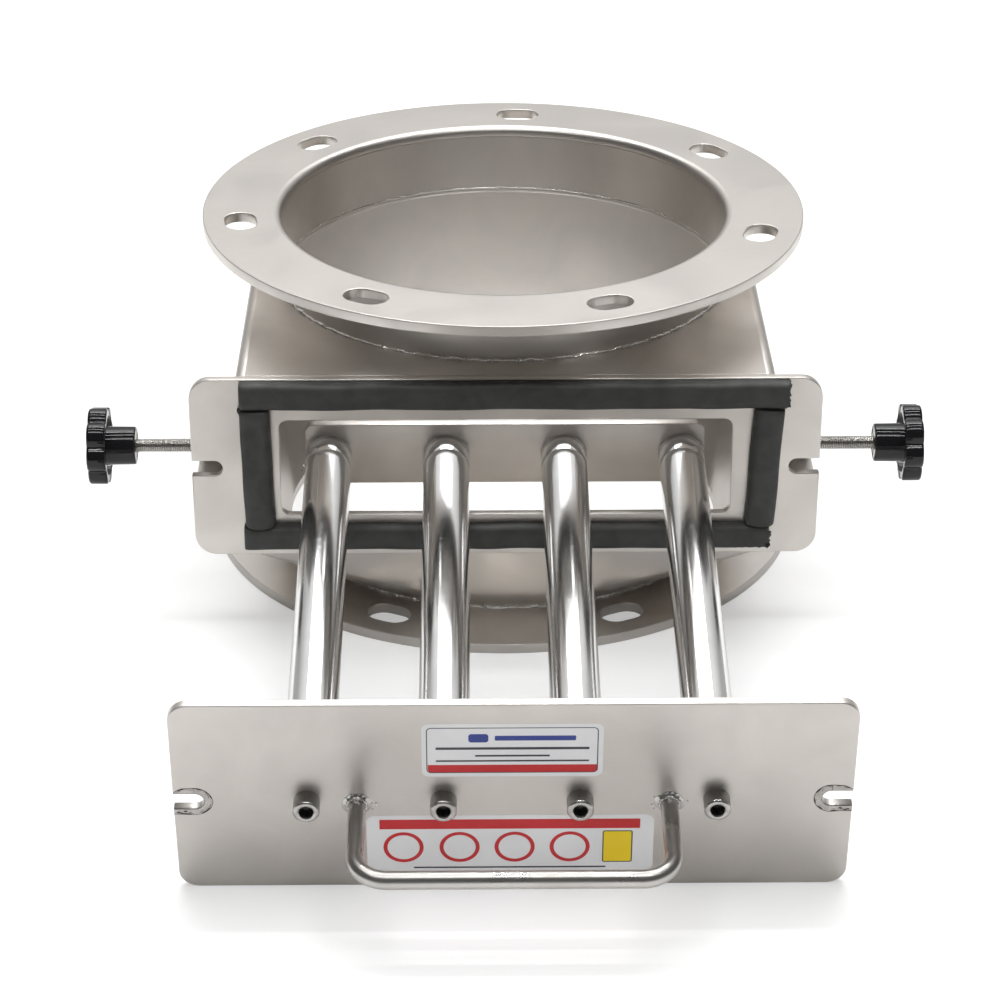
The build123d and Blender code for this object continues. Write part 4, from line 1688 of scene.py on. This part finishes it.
    def seat_marks(self) -> None:
        """The worn seats that the knobs have pressed round the plate's slots, as thin ribbons.

        A ribbon runs from one end of the slot round its far end to the other, between an inner and an
        outer distance from the slot's middle line. The outer one is widest at the slot's far end and
        falls at the upper arm's mouth; a dark rim of wandering width, a broken dark line and a bright
        ribbon lie on each other, with a few specks.
        """
        builder = MeshBuilder()
        steps = np.arange(2.0 * self.seat_arm_steps + self.seat_turn_steps)
        share = steps / steps[-1]
        widest = 0.86 + 0.14 * np.sin(np.pi * share) ** 2
        mouth = np.clip((1 - share) / 0.10, 0.12, 1.0)
        for side in (-1, 1):
            wander = 0.10 * smooth_noise(steps, 80 + side, 26.0)
            outer = self.seat_inner + (self.seat_outer - self.seat_inner) * widest * np.sqrt(mouth) + wander
            rim = 0.25 + 0.55 * np.clip(smooth_noise(steps, 70 + side, 17.0) + 0.55, 0.0, 1.4)
            rim = np.minimum(rim, 0.7 * (outer - self.seat_inner))
            crack = outer - rim - 0.55 - 0.25 * smooth_noise(steps, 60 + side, 20.0)
            crack = np.maximum(crack, self.seat_inner + 0.15)
            line = 0.04 + 0.34 * np.clip(smooth_noise(steps, 50 + side, 14.0), 0.0, 1.0)
            inner = np.full(len(steps), self.seat_inner)
            self.seat_ribbon(builder, side, inner, outer, 0.03, 1)
            self.seat_ribbon(builder, side, inner, outer - rim, 0.06, 0)
            self.seat_ribbon(builder, side, crack - line, crack, 0.09, 1)
            self.seat_ribbon(builder, side, inner, inner + 0.2, 0.09, 1)
            self.seat_specks(builder, side)
        # The second finish is near-black steel, here for the seats' dark worn rims, lines and chips.
        piece = builder.build("slot_seat_marks", self.face, [Finish.BURNISHED, Finish.BORE_SHADE_AND_MARKS])
        seat(piece, "drawer", "satin_steel")

    def seat_ribbon(
        self, builder: MeshBuilder, side: int, inner: np.ndarray, outer: np.ndarray, lift: float, slot: int
    ) -> None:
        """A ribbon along a slot's lower side, round its far end and back along its upper side.

        Args:
            builder: Where the ribbon goes.
            side: -1 for the left slot and 1 for the right one.
            inner: Its inner distance from the slot's middle line at each step.
            outer: Its outer distance at each step.
            lift: Its height over the plate's face.
            slot: Which of the object's materials it takes.
        """
        centre = self.plate[0] / 2 - self.slot_depth + self.slot_width / 2
        arm = np.linspace(1, 0, self.seat_arm_steps)
        level, upright = np.zeros_like(arm), np.ones_like(arm)
        angle = np.radians(np.linspace(270, 90, self.seat_turn_steps))
        along = np.concatenate([10.2 * arm, np.zeros_like(angle), 10.0 * arm[::-1]])
        out = np.concatenate([level, np.cos(angle), level])
        up = np.concatenate([-upright, np.sin(angle), upright])
        rows = []
        for width in (inner, outer):
            across = side * (centre + along + out * width) + self.plate_right
            rows.append(np.column_stack([across, up * width, np.full(len(width), lift)]))
        builder.grid(np.stack(rows), close_columns=False, slot=slot, flip=side < 0)

    def seat_specks(self, builder: MeshBuilder, side: int) -> None:
        """Small dark chips on the seat's lower arm and at its mouth: flat wavy ellipses.

        Args:
            builder: Where the chips go.
            side: -1 for the left slot and 1 for the right one.
        """
        chips = ((8.2, -6.9, 0.7), (4.6, -6.2, 0.8), (6.9, -7.4, 0.6))
        centre = self.plate[0] / 2 - self.slot_depth + self.slot_width / 2
        turn = np.linspace(0, 2 * np.pi, 24, endpoint=False)
        for number, (along, across, size) in enumerate(chips):
            wave = 1 + 0.3 * smooth_noise(np.cos(turn) * 3 + turn, 95 + number + side, 3.0)
            ring = np.stack([1.3 * np.cos(turn), 0.6 * np.sin(turn)], axis=1) * (size * wave)[:, None]
            ring = (ring + (centre + along, across)) * (side, 1) + (self.plate_right, 0.0)
            hub = np.broadcast_to(ring.mean(axis=0), ring.shape)
            speck = np.stack([np.column_stack([loop, np.full(24, 0.12)]) for loop in (ring, hub)])
            builder.grid(speck, slot=1, flip=side < 0)

    def labels(self) -> None:
        """The two stickers as fields of plain colour and simple shapes."""
        upper = Sticker(87.4, 33.0, 3.5, 31.7, 0.2)
        upper.outlined(-0.1, 0.0, 82.8, 28.4, 2.4, 0.5, Finish.INK)
        upper.foot_band(-11.4, 81.6, 4.6, 1.7, Finish.RED)
        upper.bar(-16.4, 7.6, 9.6, 5.2, 1.5, Finish.BLUE)
        upper.bar(11.0, 7.6, 39.0, 3.0, 0.6, Finish.BLUE)
        for y, width, height in ((1.2, 74.0, 1.5), (-3.4, 36.0, 1.1), (-6.6, 74.0, 1.0)):
            upper.bar(0.0, y, width, height, 0.4, Finish.INK)
        seat(upper.build("upper_sticker", self.face), "drawer", "satin_steel")
        lower = Sticker(141.0, 37.0, 4.5, -28.3, -0.7)
        lower.bar(-0.2, 12.8, 127.8, 6.2, 0.3, Finish.RED)
        for x in (-52.5, -24.9, 2.2, 29.3):
            lower.ring(x, -2.2, 9.9, 2.0, Finish.RED)
        lower.outlined(52.8, -2.2, 14.8, 20.8, 1.2, 0.6, Finish.INK)
        lower.bar(52.8, -2.2, 13.6, 19.6, 0.6, Finish.YELLOW)
        lower.bar(-0.2, -15.6, 95.0, 1.0, 0.45, Finish.INK)
        seat(lower.build("lower_sticker", self.face), "drawer", "satin_steel")


class Sticker:
    """A thin film with printed fields, each a flat plate a hair over the film."""

    FILM: float = 0.12
    INK_LEVEL: float = 0.125
    INK_THICKNESS: float = 0.03

    def __init__(self, width: float, height: float, corner: float, up: float, across: float = 0.0) -> None:
        """Starts with the pale film.

        Args:
            width: The film's width.
            height: The film's height.
            corner: Its corners' radius.
            up: Height of its middle over the plate's middle.
            across: Distance of its middle to the right of the plate's middle.
        """
        self.middle = np.array([across, up])
        self.builder = MeshBuilder()
        self.finishes = [Finish.PAPER]
        film = rounded_rectangle(width, height, corner) + self.middle
        add_plate(self.builder, film, [], self.FILM, edge=0.04)

    def layer(self, outline: Loop, holes: list[Loop], finish: Finish) -> None:
        """Adds one printed field, and its finish where it is new.

        Args:
            outline: The field's outline round the sticker's middle.
            holes: The bare places in it.
            finish: The ink.
        """
        if finish not in self.finishes:
            self.finishes.append(finish)
        add_plate(
            self.builder,
            outline + self.middle,
            [hole + self.middle for hole in holes],
            self.INK_THICKNESS,
            edge=0.01,
            slot=self.finishes.index(finish),
            base=self.INK_LEVEL,
        )

    def bar(self, x: float, y: float, width: float, height: float, corner: float, finish: Finish) -> None:
        """A printed bar with round corners."""
        self.layer(rounded_rectangle(width, height, corner) + np.array([x, y]), [], finish)

    def ring(self, x: float, y: float, radius: float, line: float, finish: Finish) -> None:
        """A printed ring."""
        self.layer(circle(radius, x, y), [circle(radius - line, x, y)], finish)

    def outlined(
        self, x: float, y: float, width: float, height: float, corner: float, line: float, finish: Finish
    ) -> None:
        """A printed line round a field with round corners.

        Args:
            x: The field's middle to the right of the sticker's.
            y: The field's middle above the sticker's.
            width: Width over the line.
            height: Height over the line.
            corner: Outer radius of the corners.
            line: Width of the line.
            finish: The ink.
        """
        outline = rounded_rectangle(width, height, corner)
        hole = rounded_rectangle(width - 2 * line, height - 2 * line, corner - line)
        self.layer(outline + np.array([x, y]), [hole + np.array([x, y])], finish)

    def foot_band(self, y: float, width: float, height: float, corner: float, finish: Finish) -> None:
        """A printed band whose two lower corners are round.

        Args:
            y: The band's middle above the sticker's.
            width: The band's width.
            height: The band's height.
            corner: Radius of the lower corners.
            finish: The ink.
        """
        half_w, half_h = width / 2, height / 2
        top = np.array([[half_w, half_h], [-half_w, half_h]])
        left = arc(corner, 180, 90, 8, corner - half_w, corner - half_h)
        right = arc(corner, 270, 90, 8, half_w - corner, corner - half_h)
        self.layer(np.vstack([top, left, right]) + np.array([0.0, y]), [], finish)

    def build(self, name: str, place: Placement) -> bpy.types.Object:
        """Makes the sticker's mesh on the plate's face."""
        return self.builder.build(name, place, self.finishes)


@dataclass(frozen=True)
class Lamp:
    """An area lamp that faces its aim.

    Args:
        name: The lamp's name.
        place: Where it hangs, in metres.
        power: Its power in watts.
        width: Its width in metres.
        depth: Its depth in metres, or nothing where it is square.
        aim: The point that it faces.
        mirrored: Whether it shows in reflections.
    """

    name: str
    place: Triple
    power: float
    width: float
    depth: float | None = None
    aim: Triple = (0.0, -0.1, 0.08)
    mirrored: bool = True

    def build(self) -> None:
        """Hangs the lamp in the scene."""
        data = bpy.data.lights.new(self.name, "AREA")
        data.size = self.width
        if self.depth is not None:
            data.shape = "RECTANGLE"
            data.size_y = self.depth
        data.energy = self.power
        lamp = place_object(self.name, data)
        lamp.location = self.place
        towards = np.array(self.aim) - np.array(self.place)
        level = math.hypot(towards[0], towards[1])
        turn = math.atan2(-towards[0], towards[1]) if level > 0.001 else 0.0
        lamp.rotation_euler = (math.atan2(level, -towards[2]), 0.0, turn)
        lamp.visible_glossy = self.mirrored


@dataclass
class Studio:
    """The plain pale floor, the soft light and the camera, in metres and degrees."""

    camera_place: Triple = (-0.01767, -1.6345, 0.8525)
    pitch: float = 27.3485
    yaw: float = 0.5581
    focal_pixels: float = 2985.6
    image_pixels: float = 1000.0
    sensor: float = 36.0
    floor_half: float = 9.0
    floor_tone: float = 0.70
    floor_seen: float = 0.37
    floor_far: tuple[float, float] = (0.5, 1.4)
    floor_mirrored: tuple[float, float] = (0.0, 0.40)
    world_seen: float = 1.0
    world_behind: tuple[float, float] = (0.42, 0.88)
    world_mirrored: float = 0.09
    world_other: float = 0.08
    lamps: tuple[Lamp, ...] = (
        Lamp("overhead_strip_front", (0.0, -1.0, 2.2), 9.0, 2.4, 0.035, (0.0, -1.0, 0.0)),
        Lamp("overhead_strip_middle", (0.0, 0.0, 2.2), 9.5, 2.4, 0.035, (0.0, 0.0, 0.0)),
        Lamp("overhead_strip_back", (0.0, 0.9, 2.2), 9.5, 2.4, 0.035, (0.0, 0.9, 0.0)),
        Lamp("overhead_softbox", (0.0, -0.05, 1.6), 19.0, 1.2, mirrored=False),
        Lamp("front_glow", (0.0, -0.85, 2.0), 3.8, 1.6, 0.5),
        Lamp("back_softbox", (0.0, 0.95, 1.75), 9.0, 1.5, 0.9),
        Lamp("left_front_softbox", (-1.5, -2.2, 0.75), 12.5, 1.6, mirrored=False),
        Lamp("right_front_softbox", (1.5, -2.2, 0.75), 10.5, 1.6, mirrored=False),
    )

    def build(self) -> None:
        """Builds floor, world, lamps and camera."""
        self.floor()
        self.world()
        for lamp in self.lamps:
            lamp.build()
        self.camera()

    def by_ray(
        self, tree: ShaderTree, seen: float | Socket, mirrored: Socket, other: float
    ) -> Socket:
        """A value for camera rays, one for glossy and transmission rays, and one for the rest.

        Args:
            tree: The tree that takes the nodes.
            seen: The value where the camera looks.
            mirrored: The value in reflections.
            other: The value for all other rays.

        Returns:
            The socket with the value.
        """
        path = tree.node("ShaderNodeLightPath")
        rays = (path.outputs["Is Glossy Ray"], path.outputs["Is Transmission Ray"])
        reflected = tree.node("ShaderNodeMix", A=other)
        tree.link(tree.calculate("ADD", *rays, clamp=True), reflected.inputs[0])
        tree.link(mirrored, reflected.inputs[3])
        direct = tree.node("ShaderNodeMix")
        tree.link(path.outputs["Is Camera Ray"], direct.inputs[0])
        tree.link(reflected.outputs[0], direct.inputs[2])
        tree.feed(direct.inputs[3], seen)
        return direct.outputs[0]

    def floor(self) -> None:
        """A wide pale floor that keeps the object's soft shadow on near-white.

        Its own glow grows to white with the distance where the camera looks, and in reflections it
        grows from the front to the back, so that upright steel shows a darker floor low down.
        """
        half = self.floor_half
        mesh = bpy.data.meshes.new("floor")
        corners = [(-half, -half, 0), (half, -half, 0), (half, half, 0), (-half, half, 0)]
        mesh.from_pydata(corners, [], [(0, 1, 2, 3)])
        floor = place_object("floor", mesh)
        material = bpy.data.materials.new("pale_floor")
        tree = empty_tree(material)
        tone = self.floor_tone
        matt = tree.node("ShaderNodeBsdfDiffuse", Color=(tone, tone, tone, 1.0))
        glow = tree.node("ShaderNodeEmission", Color=(1.0, 1.0, 1.0, 1.0))
        place = tree.node("ShaderNodeTexCoord")
        away = tree.node("ShaderNodeVectorMath", operation="LENGTH")
        tree.link(place.outputs["Object"], away.inputs[0])
        seen = tree.ramp(away.outputs["Value"], *self.floor_far, self.floor_seen, 1.0, kind="SMOOTHSTEP")
        parts = tree.node("ShaderNodeSeparateXYZ")
        tree.link(place.outputs["Object"], parts.inputs[0])
        mirrored = tree.ramp(parts.outputs["Y"], -0.2, 0.5, *self.floor_mirrored)
        tree.link(self.by_ray(tree, seen, mirrored, 0.0), glow.inputs["Strength"])
        both = tree.node("ShaderNodeAddShader")
        tree.link(matt.outputs[0], both.inputs[0])
        tree.link(glow.outputs[0], both.inputs[1])
        output = tree.node("ShaderNodeOutputMaterial")
        tree.link(both.outputs[0], output.inputs[0])
        mesh.materials.append(material)

    def world(self) -> None:
        """White where the camera looks, and dim to most other rays, so that the lamps shape the steel.

        In reflections it is bright behind the object, more so higher up, and nearly dark elsewhere.
        """
        world = bpy.data.worlds.new("studio")
        bpy.context.scene.world = world
        tree = empty_tree(world)
        back = tree.node("ShaderNodeBackground", Color=(1.0, 1.0, 1.0, 1.0))
        ray = tree.node("ShaderNodeTexCoord")
        parts = tree.node("ShaderNodeSeparateXYZ")
        tree.link(ray.outputs["Generated"], parts.inputs[0])
        higher = tree.ramp(parts.outputs["Z"], 0.3, 0.6, *self.world_behind)
        behind = tree.ramp(parts.outputs["Y"], 0.30, 0.72, self.world_mirrored, higher, kind="SMOOTHSTEP")
        strength = self.by_ray(tree, self.world_seen, behind, self.world_other)
        tree.link(strength, back.inputs["Strength"])
        output = tree.node("ShaderNodeOutputWorld")
        tree.link(back.outputs[0], output.inputs[0])

    def camera(self) -> None:
        """The camera at the photograph's viewing angle."""
        data = bpy.data.cameras.new("camera")
        data.sensor_width = self.sensor
        data.lens = self.focal_pixels / self.image_pixels * self.sensor
        data.clip_end = 50.0
        camera = place_object("camera", data)
        camera.location = self.camera_place
        camera.rotation_euler = (math.radians(90 - self.pitch), 0.0, math.radians(-self.yaw))
        bpy.context.scene.camera = camera


def sealing_strips() -> list[SealingStrip]:
    """The four strips round the opening, placed from their CAD nodes' boxes.

    A side strip leans by some degrees: its middle line is as high as its box less the width's share.

    Returns:
        The strips, each with its own marks.
    """
    kinds = (
        ("top", 0.0, 15.7, {"torn_end": 1.6}),
        ("bottom", 0.0, 14.4, {"torn_end": 2.4, "dent": 23.0, "crease": 281.0}),
        ("left", 1.0, 16.8, {"bulge": 1.6, "nub": 1.6}),
        ("right", -3.0, 16.8, {"bulge": 1.4}),
    )
    strips = []
    for number, (name, lean, width, marks) in enumerate(kinds):
        node = f"gasket_{name}_strip"
        low, high = (np.array(corner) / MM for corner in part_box(node))
        middle = (low + high) / 2
        if name in ("top", "bottom"):
            start, end = (low[0], middle[2]), (high[0], middle[2])
        else:
            rise = (high[2] - low[2] - width * abs(math.sin(math.radians(lean)))) / 2
            shift = rise * math.tan(math.radians(lean))
            start, end = (middle[0] - shift, middle[2] + rise), (middle[0] + shift, middle[2] - rise)
        strips.append(SealingStrip(node, start, end, width, high[1] - low[1], seed=11 * number + 5, **marks))
    return strips


def main() -> None:
    """Builds the finishes, the object's sub-assemblies and the studio, in that order."""
    logging.basicConfig(level=logging.INFO, format="%(name)s: %(message)s")
    bpy.context.scene.view_settings.view_transform = "Standard"
    build_finishes()
    Housing().build()
    for strip in sealing_strips():
        strip.build()
    for side, sign in (("left", -1.0), ("right", 1.0)):
        SwingClamp(side, sign).build()
    MagnetDrawer().build()
    Studio().build()


if __name__ == "__main__":
    main()
